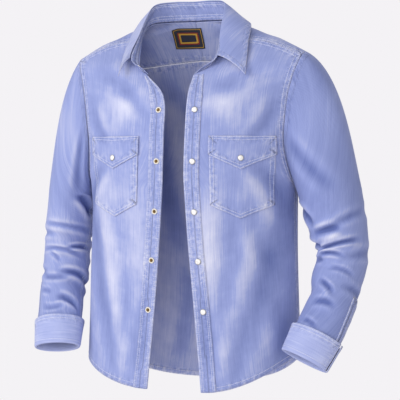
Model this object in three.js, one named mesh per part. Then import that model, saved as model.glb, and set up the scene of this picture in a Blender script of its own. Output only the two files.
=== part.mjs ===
// A denim shirt, filled out as worn, open down the front, with its cuffs turned up once.
// Millimetres, +Z up, the front faces -Y and +X is the wearer's left. The origin lies in the middle of the
// neck opening, level with the tops of the shoulders.
import * as THREE from "three";

// Cloth and gaps
const CLOTH = 1.4; // one ply of denim with its seam allowance pressed flat
const THIN_PLY = 1.0; // pocket cloth
const SEAM_GAP = 0.3;
const DEG = Math.PI / 180;

// Cut of the shirt
const NECK_X = -14; // the open neck hangs a little to the wearer's right
const PLACKET_WIDTH = 31;
const POCKET = { inner: 74, outer: 192, shift: 5, top: -243, side: -362, point: -388, narrow: 3 };
const FLAP = { inner: 73, outer: 193, shift: 5, top: -227, side: -263, point: -292, narrow: 0 };
const LABEL = { centreX: -36, top: 3, width: 64, height: 41 };
const CUFF_SLIT = { angle: 6, halfGap: 4 };
const SLEEVE_PLACKET = { from: 4.2, to: 5.8, start: 1, end: 25 }; // rows and degrees on the sleeve
const SNAP = { radius: 6, height: 2.4, sides: 14, fromEdge: { left: 18, right: 13.5 } };
const SNAP_HEIGHTS = [-176, -277, -376, -473, -571];
const FLAP_SNAP_Z = -270;
const COLLAR_SNAP = { row: -5.5, height: 0.5, scale: 0.75 };

const SEGMENTS = { panel: 11, back: 9, yoke: 8 };
// Where the sleeves have their lengthwise edges, round from the outside through the front. They are closer at
// the top, where the armhole turns over the shoulder.
const SLEEVE_ANGLES = [0, 15, 32, 54, 78, 103, 128, 154, 180, 206, 232, 257, 282, 304, 321, 337, 360];

// Turns rows of numbers into rows with named columns.
const table = (names, rows) =>
  rows.map((row) => Object.fromEntries(names.split(" ").map((name, i) => [name, row[i]])));

// Sections of the two fronts, from the hem up to the shoulder seam. Each runs from the side or armhole to the
// front edge, and from the neck corner up to the neck. turn is how far round the body the section starts, dip
// bends its height, rise lifts its middle, drop lowers it on the wearer's right, and steps is the number of
// strips up to the next row.
const FRONT = table("sideX sideY sideZ turn leftX rightX edgeY edgeZ dip rise drop steps", [
  [228, 0, -664, 0, 64, -50, -129, -730, 2, 0, 18, 3],
  [223, 0, -560, 0, 50, -33, -130, -566, 1.6, 0, 6, 4],
  [219, 0, -440, 0, 38, -23, -131, -440, 1, 0, 0, 3],
  [220, 0, -336, 0, 30, -16, -132, -330, 1, 0, 0, 1],
  [216, -36, -300, 15, 29, -15, -132, -290, 1, 0, 0, 2],
  [209, -57, -235, 26, 30, -14, -129, -226, 1, 0, 0, 2],
  [216, -59, -158, 31, 30, -20, -113, -150, 1, 2, 0, 1],
  [225, -53, -114, 38, 34, -67, -86, -104, 1, 5, 0, 1],
  [233, -46, -87, 46, 62, -90, -68, -84, 1, 8, 0, 2],
  [239, -35, -68, 55, 75, -103, -27, -30, 1, 13, 0, 0],
]);
const ARMPIT = 3;
const NECK_CORNER = 7;

// Sections of the back, from the hem up to the yoke seam, each from the side or armhole to the middle.
const BACK = table("sideX sideY sideZ turn edgeX edgeY edgeZ dip rise drop steps", [
  [228, 0, -664, 0, 0, 129, -745, 3, 0, 18, 3],
  [223, 0, -560, 0, 0, 128, -568, 1.8, 0, 6, 4],
  [219, 0, -440, 0, 0, 127, -440, 1, 0, 0, 3],
  [220, 0, -336, 0, 0, 131, -330, 1, 0, 0, 1],
  [217, 35, -300, 15, -2, 133, -290, 1, 0, 0, 2],
  [212, 58, -235, 26, -5, 131, -226, 1, 0, 0, 2],
  [218, 61, -158, 31, -9, 120, -148, 1, 2, 0, 2],
  [229, 49, -94, 40, -14, 98, -64, 1, 4, 0, 0],
]);

// Sections of the yoke, from its back seam over the shoulder to the front seam, each from the armhole to the
// middle of the back and, above the neck corner, to the neck. edgeX counts from the middle of the neck.
const YOKE = table("sideX sideY sideZ turn edgeX edgeY edgeZ dip rise drop steps", [
  [229, 49, -94, 40, 0, 98, -64, 1, 4, 0, 1],
  [235, 35, -77, 45, 0, 79, -24, 1, 5, 0, 1],
  [239, 19, -66, 50, 0, 54, 14, 1, 6, 0, 1],
  [241, 3, -61, 55, 48, 44, 13, 1, 6, 0, 1],
  [242, -9, -60, 60, 82, 20, 8, 1, 7, 0, 1],
  [241, -20, -62, 60, 90, -6, -8, 1, 10, 0, 1],
  [239, -35, -68, 55, 89, -27, -30, 1, 13, 0, 0],
]);
const BACK_NECK = 2;

// The collar, from the middle of the back to its front end. seam is the neck edge, fold the top of the stand,
// and the leaf hangs from the fold to its outer edge, which the wearer's left and right wear differently.
const COLLAR = table("seamX seamY seamZ foldX foldY foldZ leftX leftY leftZ rightX rightY rightZ steps", [
  [0, 54, 14, 0, 47, 54, 0, 74, 6, 0, 74, 6, 3],
  [48, 44, 13, 43, 38, 54, 58, 66, 6, 58, 66, 6, 3],
  [82, 20, 8, 76, 14, 46, 106, 40, 5, 100, 38, 4, 2],
  [90, -6, -8, 84, -14, 17, 137, 4, 0, 114, 4, -2, 2],
  [88, -40, -46, 87, -42, -18, 148, -48, -44, 116, -48, -46, 2],
  [76, -68, -84, 93, -76, -68, 156, -90, -108, 108, -106, -106, 2],
  [48, -87, -105, 66, -86, -88, 156, -90, -108, 108, -106, -106, 0],
]);
const LEAF_END = 5;
const STAND_END = 6;

// Rings of the sleeves below the cap, down to the cuff fold. width and depth are half sizes.
const SLEEVE = table("leftX rightX y z leftWidth rightWidth depth twist steps", [
  [291, 274, 0, -345, 62, 47, 62, 0, 2],
  [307, 282, 3, -415, 56, 48, 58, 0, 2],
  [313, 285, -1, -466, 52, 48, 55, 0, 2],
  [306, 283, -22, -528, 50, 47, 50, 0, 2],
  [293, 278, -51, -585, 48, 46, 42, -3, 2],
  [277, 272, -73, -628, 47, 47, 34, -6, 1],
  [263, 269, -88, -660, 46, 48, 28, -8, 0],
]);
const CAP_STEPS = 7;

// The largest folds of the sleeves: ring (counted down the table), angle round from the outside through the
// front, depth of the trough, half length round the arm, half width along it, and slant.
const FOLDS = table("ring angle depth around along slant", [
  [1.6, 150, 9, 55, 0.32, 0.5],
  [2.4, 120, 7, 60, 0.28, -0.3],
  [3.3, 160, 7, 50, 0.3, 0.3],
  [1.1, 90, -4, 60, 0.5, 0.2],
  [2.7, 300, 6, 55, 0.35, 0.4],
  [3.9, 100, 5, 60, 0.3, -0.2],
]);

// Interpolation between rows
const cubic = (a, b, c, d, t) =>
  b + 0.5 * t * (c - a + t * (2 * a - 5 * b + 4 * c - d + t * (3 * (b - c) + d - a)));

function along(rows, name, v, corner = -1) {
  const i = Math.min(Math.floor(v), rows.length - 2);
  const [b, c] = [rows[i][name], rows[i + 1][name]];
  const a = i === 0 || i === corner ? 2 * b - c : rows[i - 1][name];
  const d = i + 2 >= rows.length || i + 1 === corner ? 2 * c - b : rows[i + 2][name];
  return cubic(a, b, c, d, v - i);
}

// The heights, counted in rows, at which a loft has its strips.
function stations(rows, from = 0, to = rows.length - 1) {
  const list = [];
  for (let i = from; i < to; i++)
    for (let k = 0; k < rows[i].steps; k++) list.push(i + k / rows[i].steps);
  return [...list, to];
}

// Points on the panels. side is 1 for the wearer's left and -1 for the right, f runs from the side or armhole
// to the front edge, middle or neck, and v counts rows.
function sectionPoint(rows, v, side, f, edgeX, corner, armpit) {
  const get = (name, at) => along(rows, name, v, at);
  const start = Math.max(get("turn", armpit), 0) * DEG;
  const turned = start + (90 * DEG - start) * f;
  const reach = Math.cos(turned) / Math.cos(start);
  const across = 1 - reach;
  const forward = (Math.sin(turned) - Math.sin(start)) / (1 - Math.sin(start));
  const sideZ = get("sideZ") - (side < 0 ? get("drop") : 0);
  return new THREE.Vector3(
    edgeX + (side * get("sideX") - edgeX) * reach,
    get("sideY", armpit) + (get("edgeY", corner) - get("sideY", armpit)) * forward,
    sideZ +
      (get("edgeZ", corner) - sideZ) * (1 - (1 - across) ** get("dip")) +
      get("rise") * 4 * across * (1 - across),
  );
}

const frontEdgeX = (side, v) => along(FRONT, side > 0 ? "leftX" : "rightX", v, NECK_CORNER);
const frontPoint = (side) => (f, v) =>
  sectionPoint(FRONT, v, side, f, frontEdgeX(side, v), NECK_CORNER, ARMPIT);
const backPoint = (side) => (f, v) =>
  sectionPoint(BACK, v, side, f, along(BACK, "edgeX", v), -1, ARMPIT);
const yokePoint = (side) => (f, v) =>
  sectionPoint(YOKE, v, side, f, NECK_X + side * along(YOKE, "edgeX", v, BACK_NECK), BACK_NECK);

// The outward direction of a surface, away from the inside of the garment at the point given.
const STEP = 1e-3;
function withNormal(surface, f, v, vMax, inside) {
  const p = surface(f, v);
  const f0 = Math.min(Math.max(f, STEP), 1 - STEP);
  const v0 = Math.min(Math.max(v, STEP), vMax - STEP);
  const alongF = surface(f0 + STEP, v0).sub(surface(f0 - STEP, v0));
  const alongV = surface(f0, v0 + STEP).sub(surface(f0, v0 - STEP));
  const n = alongF.cross(alongV).normalize();
  if (n.dot(p.clone().sub(inside)) < 0) n.negate();
  return { p, n };
}
// The point inside the body that a panel faces away from: on the middle line, a little lower than the cloth.
const INSIDE = { below: 60, lowest: -700, highest: -150 };
const panelAt = (surface, rows) => (f, v) => {
  const level = Math.max(surface(f, v).z - INSIDE.below, INSIDE.lowest);
  const inside = new THREE.Vector3(0, 0, Math.min(level, INSIDE.highest));
  return withNormal(surface, f, v, rows.length - 1, inside);
};

// A closed wall from one or more grids of points with outward directions. Grids that share points are joined:
// two points are one when they round to the same hundredth, and the shift keeps plain fractions off a border.
const JOIN_STEPS = 100;
const JOIN_SHIFT = 0.317;
function wall(grids, thickness, offset = 0) {
  const points = [];
  const ids = new Map();
  const idOf = ({ p, n }) => {
    const key = [p.x, p.y, p.z].map((c) => Math.round(c * JOIN_STEPS + JOIN_SHIFT)).join(" ");
    if (!ids.has(key)) {
      ids.set(key, points.length);
      points.push({ p, n: new THREE.Vector3() });
    }
    points[ids.get(key)].n.add(n);
    return ids.get(key);
  };
  const faces = [];
  for (const grid of grids) {
    const id = grid.map((row) => row.map(idOf));
    const made = [];
    for (let j = 0; j + 1 < id.length; j++)
      for (let i = 0; i + 1 < id[j].length; i++) {
        made.push([id[j][i], id[j][i + 1], id[j + 1][i + 1]]);
        made.push([id[j][i], id[j + 1][i + 1], id[j + 1][i]]);
      }
    const whole = made.filter(([a, b, c]) => a !== b && b !== c && c !== a);
    const [a, b, c] = whole[Math.floor(whole.length / 2)].map((i) => points[i]);
    const facing = b.p.clone().sub(a.p).cross(c.p.clone().sub(a.p)).dot(a.n);
    faces.push(...(facing < 0 ? whole.map((face) => face.toReversed()) : whole));
  }
  const count = points.length;
  const shift = (sign) =>
    points.flatMap(({ p, n }) =>
      p.clone().addScaledVector(n.clone().normalize(), offset + (sign * thickness) / 2).toArray(),
    );
  const triangles = faces.flatMap(([a, b, c]) => [a, b, c, c + count, b + count, a + count]);
  const edges = new Map();
  for (const face of faces)
    face.forEach((from, i) => {
      const to = face[(i + 1) % 3];
      if (!edges.delete(to + "-" + from)) edges.set(from + "-" + to, [from, to]);
    });
  for (const [from, to] of edges.values())
    triangles.push(to, from, from + count, to, from + count, to + count);
  const geometry = new THREE.BufferGeometry();
  const positions = new Float32Array([...shift(1), ...shift(-1)]);
  geometry.setAttribute("position", new THREE.BufferAttribute(positions, 3));
  geometry.setIndex(triangles);
  geometry.computeVertexNormals();
  return geometry;
}

const grid = (us, vs, at) => vs.map((v) => us.map((u) => at(u, v)));
const spread = (count, from = 0, to = 1) =>
  Array.from({ length: count + 1 }, (_, i) => from + ((to - from) * i) / count);
// Moves the first and last stations in by half a seam gap, so that neighbours stay apart.
const trimmed = (values, start, end) =>
  values.map((v, i) => (i === 0 ? v + start : i === values.length - 1 ? v - end : v));

// The garment and its cloths
const shirt = new THREE.Group();
const finish = (color, roughness, metalness = 0) =>
  new THREE.MeshStandardMaterial({ color, roughness, metalness });
const DENIM = finish(0x98a4d8, 0.9);
const DENIM_WRONG_SIDE = finish(0xa8b1d8, 0.92);
const PEARL = finish(0xe8e6e2, 0.3);
const BRASS = finish(0x9a8560, 0.35, 1);
const WOVEN_LABEL = finish(0x44454f, 0.8);
function add(name, geometry, material) {
  const mesh = new THREE.Mesh(geometry, material);
  mesh.name = name;
  shirt.add(mesh);
  return mesh;
}
const SIDES = [
  ["left", 1],
  ["right", -1],
];

// Fronts
const frontAt = Object.fromEntries(SIDES.map(([, side]) => [side, panelAt(frontPoint(side), FRONT)]));
// The seam gaps, as shares of a panel's width or of the row that ends at the seam, from their lengths in mm
const trimOn = (length) => SEAM_GAP / length;
const TRIM = { side: trimOn(400), shoulder: trimOn(20), back: trimOn(60), yoke: trimOn(80) };
for (const [name, side] of SIDES) {
  const fs = trimmed(spread(SEGMENTS.panel), TRIM.side, 0);
  const vs = trimmed(stations(FRONT), 0, TRIM.shoulder);
  add("front_" + name, wall([grid(fs, vs, frontAt[side])], CLOTH), DENIM);
}

// Back
const backAt = Object.fromEntries(SIDES.map(([, side]) => [side, panelAt(backPoint(side), BACK)]));
{
  const fs = trimmed(spread(SEGMENTS.back), TRIM.side, 0);
  const vs = trimmed(stations(BACK), 0, TRIM.back);
  add("back", wall(SIDES.map(([, side]) => grid(fs, vs, backAt[side])), CLOTH), DENIM);
}

// Yoke
const yokeAt = Object.fromEntries(SIDES.map(([, side]) => [side, panelAt(yokePoint(side), YOKE)]));
{
  const fs = spread(SEGMENTS.yoke);
  const vs = trimmed(stations(YOKE), TRIM.yoke, TRIM.shoulder);
  add("back_yoke", wall(SIDES.map(([, side]) => grid(fs, vs, yokeAt[side])), CLOTH), DENIM);
}

// Placket bands, made from the fronts' points and moved out
const FACET_SAG = 0.6; // how far a facet's middle lies inside the curve of its panel
const ON_PANEL = CLOTH / 2 + SEAM_GAP;
const placketF = (side, v, width) => {
  const edge = Math.abs(side * along(FRONT, "sideX", v) - frontEdgeX(side, v));
  const start = Math.max(along(FRONT, "turn", v, ARMPIT), 0) * DEG;
  const turned = Math.acos((width / edge) * Math.cos(start));
  return (turned - start) / (90 * DEG - start);
};
const placketAt = (side) => (width, v) => frontAt[side](placketF(side, v, width), v);
const PLACKET_PLY = 1.2;
const PLACKET_TAPER = { left: 0.35, right: 0.8 }; // how much the open neck hides of each band's width
const PLACKET_TOP_TRIM = 0.06; // rows below the neck corner
for (const [name, side] of SIDES) {
  const vs = trimmed(stations(FRONT, 0, NECK_CORNER), 0, PLACKET_TOP_TRIM);
  const width = (v) => PLACKET_WIDTH * (1 - PLACKET_TAPER[name] * Math.max(v - NECK_CORNER + 1, 0));
  const band = grid(spread(2), vs, (share, v) => placketAt(side)(share * width(v), v));
  add("placket_" + name, wall([band], PLACKET_PLY, ON_PANEL + PLACKET_PLY / 2), DENIM);
}

// The panel's own f and v at a place given by its x and z, found in a few steps from a start nearby
const LOCATE_STEPS = 12;
const LOCATE_FROM = { front: [0.5, 4.5], yoke: [0.9, 1] };
function locate(surface, x, z, [f, v], vMax) {
  for (let i = 0; i < LOCATE_STEPS; i++) {
    const p = surface(f, v);
    const df = surface(f + STEP, v).sub(p).divideScalar(STEP);
    const dv = surface(f, v + STEP).sub(p).divideScalar(STEP);
    const [ex, ez] = [x - p.x, z - p.z];
    const det = df.x * dv.z - df.z * dv.x;
    f = Math.min(Math.max(f + (ex * dv.z - ez * dv.x) / det, 0), 1 - STEP);
    v = Math.min(Math.max(v + (df.x * ez - df.z * ex) / det, 0), vMax - STEP);
  }
  return [f, v];
}
const onFront = (side, x, z) =>
  frontAt[side](...locate(frontPoint(side), x, z, LOCATE_FROM.front, FRONT.length - 1));

// Chest pockets and their flaps: a straight top, straight sides and a pointed bottom
function patch(side, shape, columns, rows, lift) {
  return grid(spread(columns), spread(rows), (a, b) => {
    const middle = 1 - Math.abs(2 * a - 1);
    const z = shape.top + b * (shape.side + (shape.point - shape.side) * middle - shape.top);
    const inset = shape.narrow * b * (1 - 2 * a);
    const x = side * (shape.inner + (shape.outer - shape.inner) * a + inset) + shape.shift;
    const { p, n } = onFront(side, x, z);
    return { p: p.clone().addScaledVector(n, lift(b)), n };
  });
}
const POCKET_LIFT = ON_PANEL + FACET_SAG + THIN_PLY / 2;
const FLAP_TOP_LIFT = ON_PANEL + FACET_SAG / 2 + CLOTH / 2;
const FLAP_LOW_LIFT = POCKET_LIFT + THIN_PLY / 2 + 2 * SEAM_GAP + CLOTH / 2;
const FLAP_BEND = 0.25; // share of the flap over which it rises from the front onto the pocket
for (const [name, side] of SIDES) {
  add("pocket_" + name, wall([patch(side, POCKET, 8, 5, () => POCKET_LIFT)], THIN_PLY), DENIM);
  const lift = (b) => FLAP_TOP_LIFT + (FLAP_LOW_LIFT - FLAP_TOP_LIFT) * Math.min(b / FLAP_BEND, 1);
  add("pocket_flap_" + name, wall([patch(side, FLAP, 8, 4, lift)], CLOTH), DENIM);
}

// Armholes: the loop of the panels' side edges, by its angle from the top through the front
const ARMHOLE_MIDDLE = { y: -2, z: -195 };
const LOOP_SAMPLES = 24;
function armhole(side) {
  const loop = [];
  const gather = (at, rows, from, to) =>
    spread(LOOP_SAMPLES, from, to).forEach((v) => loop.push(at(0, Math.min(v, rows.length - 1))));
  gather(frontAt[side], FRONT, ARMPIT, FRONT.length - 1);
  gather(backAt[side], BACK, ARMPIT, BACK.length - 1);
  gather(yokeAt[side], YOKE, 0, YOKE.length - 1);
  return loop
    .map(({ p, n }) => {
      const turn = Math.atan2(ARMHOLE_MIDDLE.y - p.y, p.z - ARMHOLE_MIDDLE.z) / DEG;
      return { p, n, angle: (turn + 360) % 360 };
    })
    .sort((a, b) => a.angle - b.angle);
}
function armholeAt(loop, angle) {
  const turn = ((angle % 360) + 360) % 360;
  let next = loop.findIndex((s) => s.angle > turn);
  if (next < 0) next = 0;
  const a = loop[(next + loop.length - 1) % loop.length];
  const b = loop[next];
  const span = (b.angle - a.angle + 360) % 360 || 1;
  const t = ((turn - a.angle + 360) % 360) / span;
  return { p: a.p.clone().lerp(b.p, t), n: a.n.clone().lerp(b.n, t).normalize() };
}
const armholes = Object.fromEntries(SIDES.map(([, side]) => [side, armhole(side)]));

// Sleeves: rings about a bent middle line, with a cap that flows from the armhole into the first ring
function ringFrame(side, r) {
  const name = side > 0 ? "left" : "right";
  const middle = (at) =>
    new THREE.Vector3(
      side * along(SLEEVE, name + "X", at),
      along(SLEEVE, "y", at),
      along(SLEEVE, "z", at),
    );
  const last = SLEEVE.length - 1;
  const [before, after] = [Math.max(r - STEP, 0), Math.min(r + STEP, last)];
  const down = middle(after).sub(middle(before)).divideScalar(after - before);
  const axis = down.clone().normalize();
  const out = new THREE.Vector3(side, 0, 0).addScaledVector(axis, -side * axis.x).normalize();
  const front = new THREE.Vector3().crossVectors(axis, out).multiplyScalar(side).normalize();
  if (front.y > 0) front.negate();
  const twist = along(SLEEVE, "twist", r) * DEG;
  const width = along(SLEEVE, name + "Width", r);
  return { middle: middle(r), down, axis, out, front, twist, width, depth: along(SLEEVE, "depth", r) };
}
function foldDepth(r, angle) {
  return FOLDS.reduce((sum, fold) => {
    const away = ((((angle - fold.angle) % 360) + 540) % 360) - 180;
    const level = (r - fold.ring - (fold.slant * away) / 90) / fold.along;
    return sum + fold.depth * Math.exp(-((away / fold.around) ** 2) - level ** 2);
  }, 0);
}
function ringPoint(side, r, angle, out = 0) {
  const ring = ringFrame(side, r);
  const [c, s] = [Math.cos(angle * DEG - ring.twist), Math.sin(angle * DEG - ring.twist)];
  const inward = r < SLEEVE.length - 2 ? foldDepth(r, angle) * Math.min(r, 1) : 0;
  const [w, d] = [ring.width - inward + out, ring.depth - inward + out];
  const [across, fore] = [w * c, d * s];
  const [ct, st] = [Math.cos(ring.twist), Math.sin(ring.twist)];
  return ring.middle
    .addScaledVector(ring.out, across * ct - fore * st)
    .addScaledVector(ring.front, across * st + fore * ct);
}
const CLEAR = { top: 1.1, under: 2.4 }; // from the armhole's edge at the shoulder and at the armpit
// The way the cap leaves the armhole: outward at the shoulder and at the armpit, down, and more down underneath
const CAP = { out: 0.9, outUnder: 0.4, down: { left: 0.5, right: 1.15 }, downUnder: 0.5, forward: 0.1 };
const CAP_FULLNESS = 0.85;
function sleeveSurface(side) {
  const down = CAP.down[side > 0 ? "left" : "right"];
  const first = ringFrame(side, 0);
  return (angle, v) => {
    if (v >= 1) return ringPoint(side, v - 1, angle);
    const under = (1 - Math.cos(angle * DEG)) / 2;
    const edge = armholeAt(armholes[side], angle);
    const start = edge.p.clone().addScaledVector(edge.n, CLEAR.under * under);
    start.x += side * CLEAR.top * (1 - under);
    const end = ringPoint(side, 0, angle);
    const length = end.distanceTo(start);
    const leave = new THREE.Vector3(
      side * (CAP.out + (CAP.outUnder - CAP.out) * under),
      -CAP.forward * Math.sin(angle * DEG),
      -down - CAP.downUnder * under,
    );
    leave.normalize().multiplyScalar(length * CAP_FULLNESS);
    const arrive = first.axis.clone().multiplyScalar(length * CAP_FULLNESS);
    const [a, b] = [v * v * (3 - 2 * v), v * (1 - v)];
    return start
      .multiplyScalar(1 - a)
      .addScaledVector(end, a)
      .addScaledVector(leave, b * (1 - v))
      .addScaledVector(arrive, -b * v);
  };
}
const sleeves = Object.fromEntries(SIDES.map(([, side]) => [side, sleeveSurface(side)]));
const ANGLE_STEP = 0.5;
function sleeveAt(side) {
  const surface = sleeves[side];
  return (angle, v) => {
    const p = surface(angle, v);
    const v0 = Math.min(Math.max(v, STEP), SLEEVE.length - STEP);
    const round = surface(angle + ANGLE_STEP, v0).sub(surface(angle - ANGLE_STEP, v0));
    const down = surface(angle, v0 + STEP).sub(surface(angle, v0 - STEP));
    return { p, n: round.cross(down).multiplyScalar(side).normalize() };
  };
}
const SLEEVE_END = SLEEVE.length - 0.25; // inside the cuff, a quarter of a row above its fold
for (const [name, side] of SIDES) {
  const vs = [...spread(CAP_STEPS).slice(0, -1), ...stations(SLEEVE).map((v) => v + 1)];
  vs[vs.length - 1] = SLEEVE_END;
  add("sleeve_" + name, wall([grid(SLEEVE_ANGLES, vs, sleeveAt(side))], CLOTH), DENIM);
  const { from, to, start, end } = SLEEVE_PLACKET;
  const strip = grid([start, SLEEVE_ANGLES[1], end], spread(3, from, to), sleeveAt(side));
  add("sleeve_placket_" + name, wall([strip], THIN_PLY, ON_PANEL + FACET_SAG + THIN_PLY / 2), DENIM);
}

// Cuffs: turned up once, so the band folds under the end of the sleeve and stands outside it. out is the
// distance from the sleeve's own surface and up the height above the fold.
const CUFF = table("out up", [
  [-2.9, 21],
  [-2.7, 8],
  [-0.8, 1.6],
  [1.6, 0.2],
  [3.6, 1.8],
  [4.4, 14],
  [5.4, 36],
  [6.8, 56],
]);
const CUFF_FOLD = SLEEVE.length - 1;
const CUFF_DROP = 3;
const RING_STEP = 2;
function ringAbove(side, up) {
  let r = CUFF_FOLD;
  for (let left = up; left > 0; left -= RING_STEP)
    r -= Math.min(left, RING_STEP) / ringFrame(side, r).down.length();
  return r;
}
function cuffAt(side) {
  const place = (angle, k) => {
    const p = ringPoint(side, ringAbove(side, along(CUFF, "up", k)), angle, along(CUFF, "out", k));
    return p.addScaledVector(ringFrame(side, CUFF_FOLD).axis, CUFF_DROP);
  };
  return (angle, k) => {
    const next = SLEEVE_ANGLES.findIndex((a) => a > angle % 360);
    const [before, after] = [SLEEVE_ANGLES[next - 1], SLEEVE_ANGLES[next]];
    const p = place(before, k).lerp(place(after, k), ((angle % 360) - before) / (after - before));
    const k0 = Math.min(Math.max(k, STEP), CUFF.length - 1 - STEP);
    const round = place(angle + ANGLE_STEP, k0).sub(place(angle - ANGLE_STEP, k0));
    const rise = place(angle, k0 + STEP).sub(place(angle, k0 - STEP));
    return { p, n: rise.cross(round).multiplyScalar(side).normalize() };
  };
}
for (const [name, side] of SIDES) {
  const { angle, halfGap } = CUFF_SLIT;
  const [first, last] = [angle + halfGap, angle + 360 - halfGap];
  const between = [...SLEEVE_ANGLES, 360 + SLEEVE_ANGLES[1]].filter((a) => a > first && a < last);
  const angles = [first, ...between, last];
  const band = grid(angles, spread(CUFF.length - 1, 0, CUFF.length - 1), cuffAt(side));
  add("cuff_" + name, wall([band], CLOTH), DENIM_WRONG_SIDE);
}

// Collar stand and leaf
const collarColumn = (side, what, v) =>
  new THREE.Vector3(
    NECK_X + side * along(COLLAR, what + "X", v),
    along(COLLAR, what + "Y", v),
    along(COLLAR, what + "Z", v),
  );
const NECK_MIDDLE = new THREE.Vector3(NECK_X, -20, -10);
function bandAt(place) {
  return (v, h) => {
    const p = place(v, h);
    const v0 = Math.max(Math.abs(v), STEP) * (v < 0 ? -1 : 1);
    const run = place(v0 + STEP, h).sub(place(v0 - STEP, h));
    const rise = place(v, Math.min(h + STEP, 1)).sub(place(v, Math.max(h - STEP, 0)));
    const n = run.cross(rise).normalize();
    return { p, n };
  };
}
const signed = (v) => [v < 0 ? -1 : 1, Math.min(Math.abs(v), COLLAR.length - 1)];
// The stand starts just above the neck seam, and its ends are rounded over the last part of a row.
const STAND_START = SEAM_GAP + CLOTH / 2 + 3 * FACET_SAG;
const STAND_HEIGHTS = [0, 0.5, 0.97];
const STAND_ROUND = { rows: 0.7, lower: 0.35 };
function standPlace(v, h) {
  const [side, w] = signed(v);
  const seam = collarColumn(side, "seam", w);
  const fold = collarColumn(side, "fold", w);
  const height = fold.clone().sub(seam);
  const share = (STAND_START / height.length()) * (1 - h) + h;
  const nearEnd = Math.max((w - (STAND_END - STAND_ROUND.rows)) / STAND_ROUND.rows, 0);
  return seam.addScaledVector(height, share * (1 - STAND_ROUND.lower * nearEnd * nearEnd * h));
}
{
  const vs = stations(COLLAR);
  const both = [...vs.slice(1).map((v) => -v).reverse(), ...vs];
  const stand = STAND_HEIGHTS.map((h) => both.map((v) => bandAt(standPlace)(v, h)));
  add("collar_stand", wall([stand], CLOTH), DENIM);
}
const LEAF_HEIGHTS = [0, 0.15, 0.4, 0.7, 1];
const LEAF_BULGE = { out: 8.4, up: 18 };
function leafPlace(v, h) {
  const [side, w] = signed(v);
  const fold = collarColumn(side, "fold", w);
  const edge = collarColumn(side, side > 0 ? "left" : "right", w);
  const seam = collarColumn(side, "seam", w);
  const stand = fold.clone().sub(seam).normalize();
  const crest = fold.clone().addScaledVector(stand, CLOTH / 2 + SEAM_GAP + FACET_SAG);
  const p = crest.lerp(edge, h);
  const over = fold.clone().sub(NECK_MIDDLE).setZ(0).normalize();
  return p
    .addScaledVector(over, LEAF_BULGE.out * h * (1 - h))
    .addScaledVector(new THREE.Vector3(0, 0, 1), LEAF_BULGE.up * h * (1 - h));
}
{
  const vs = stations(COLLAR, 0, LEAF_END);
  const both = [...vs.slice(1).map((v) => -v).reverse(), ...vs];
  const leaf = LEAF_HEIGHTS.map((h) => both.map((v) => bandAt(leafPlace)(v, h)));
  add("collar_leaf", wall([leaf], CLOTH), DENIM);
}

// Woven label, sewn inside the yoke below the neck seam
{
  const inner = -(ON_PANEL + FACET_SAG + THIN_PLY / 2);
  const [left, right] = [LABEL.centreX - LABEL.width / 2, LABEL.centreX + LABEL.width / 2];
  const at = (x, z) => {
    const side = x > NECK_X ? 1 : -1;
    return yokeAt[side](...locate(yokePoint(side), x, z, LOCATE_FROM.yoke, BACK_NECK));
  };
  const label = grid(spread(4, left, right), spread(3, LABEL.top, LABEL.top - LABEL.height), at);
  add("label", wall([label], THIN_PLY, inner), WOVEN_LABEL);
}

// Snaps: pearl caps on the wearer's left band and the flaps, open studs on the wearer's right band
// Profiles as radius and height above the band
const capProfile = [
  [0, 0],
  [SNAP.radius, 0],
  [SNAP.radius, 0.9],
  [SNAP.radius * 0.86, 1.7],
  [SNAP.radius * 0.5, 2.2],
  [0, SNAP.height],
];
const studProfile = [
  [0, 0],
  [SNAP.radius, 0],
  [SNAP.radius, 1],
  [SNAP.radius * 0.8, 1.5],
  [SNAP.radius * 0.56, 1.1],
  [SNAP.radius * 0.4, 0.7],
  [SNAP.radius * 0.3, 1.9],
  [0, SNAP.height],
];
function snap(name, profile, material, { p, n }, lift, scale = 1) {
  const points = profile.map(([r, h]) => new THREE.Vector2(r * scale, h * scale));
  const mesh = add(name, new THREE.LatheGeometry(points, SNAP.sides), material);
  mesh.quaternion.setFromUnitVectors(new THREE.Vector3(0, 1, 0), n);
  mesh.position.copy(p).addScaledVector(n, lift);
}
function onPlacket(side, z, fromEdge) {
  const at = (v) => placketAt(side)(fromEdge, v);
  let [low, high] = [0, NECK_CORNER];
  while (high - low > STEP / 10) {
    const middle = (low + high) / 2;
    if (at(middle).p.z < z) low = middle;
    else high = middle;
  }
  return at(low);
}
const SNAP_LIFT = ON_PANEL + PLACKET_PLY + SEAM_GAP;
SNAP_HEIGHTS.forEach((z, i) => {
  snap("snap_cap_" + (i + 1), capProfile, PEARL, onPlacket(1, z, SNAP.fromEdge.left), SNAP_LIFT);
  snap("snap_stud_" + (i + 1), studProfile, BRASS, onPlacket(-1, z, SNAP.fromEdge.right), SNAP_LIFT);
});
for (const [name, side] of SIDES) {
  const x = side * (FLAP.inner + FLAP.outer) * 0.5 + FLAP.shift;
  const lift = FLAP_LOW_LIFT + CLOTH / 2 + 2 * SEAM_GAP;
  snap("snap_flap_" + name, capProfile, PEARL, onFront(side, x, FLAP_SNAP_Z), lift);
}
{
  const place = bandAt(standPlace)(COLLAR_SNAP.row, COLLAR_SNAP.height);
  const lift = CLOTH / 2 + SEAM_GAP + 3 * FACET_SAG;
  snap("snap_collar", studProfile, BRASS, place, lift, COLLAR_SNAP.scale);
}

export default shirt;
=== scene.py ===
# A denim shirt, filled out as worn and open down the front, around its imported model. Sizes are in
# millimetres and are turned to metres as each mesh is made. +Z is up, the front faces -Y and +X is the
# wearer's left, where side is 1; on the wearer's right it is -1.
import math

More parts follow.
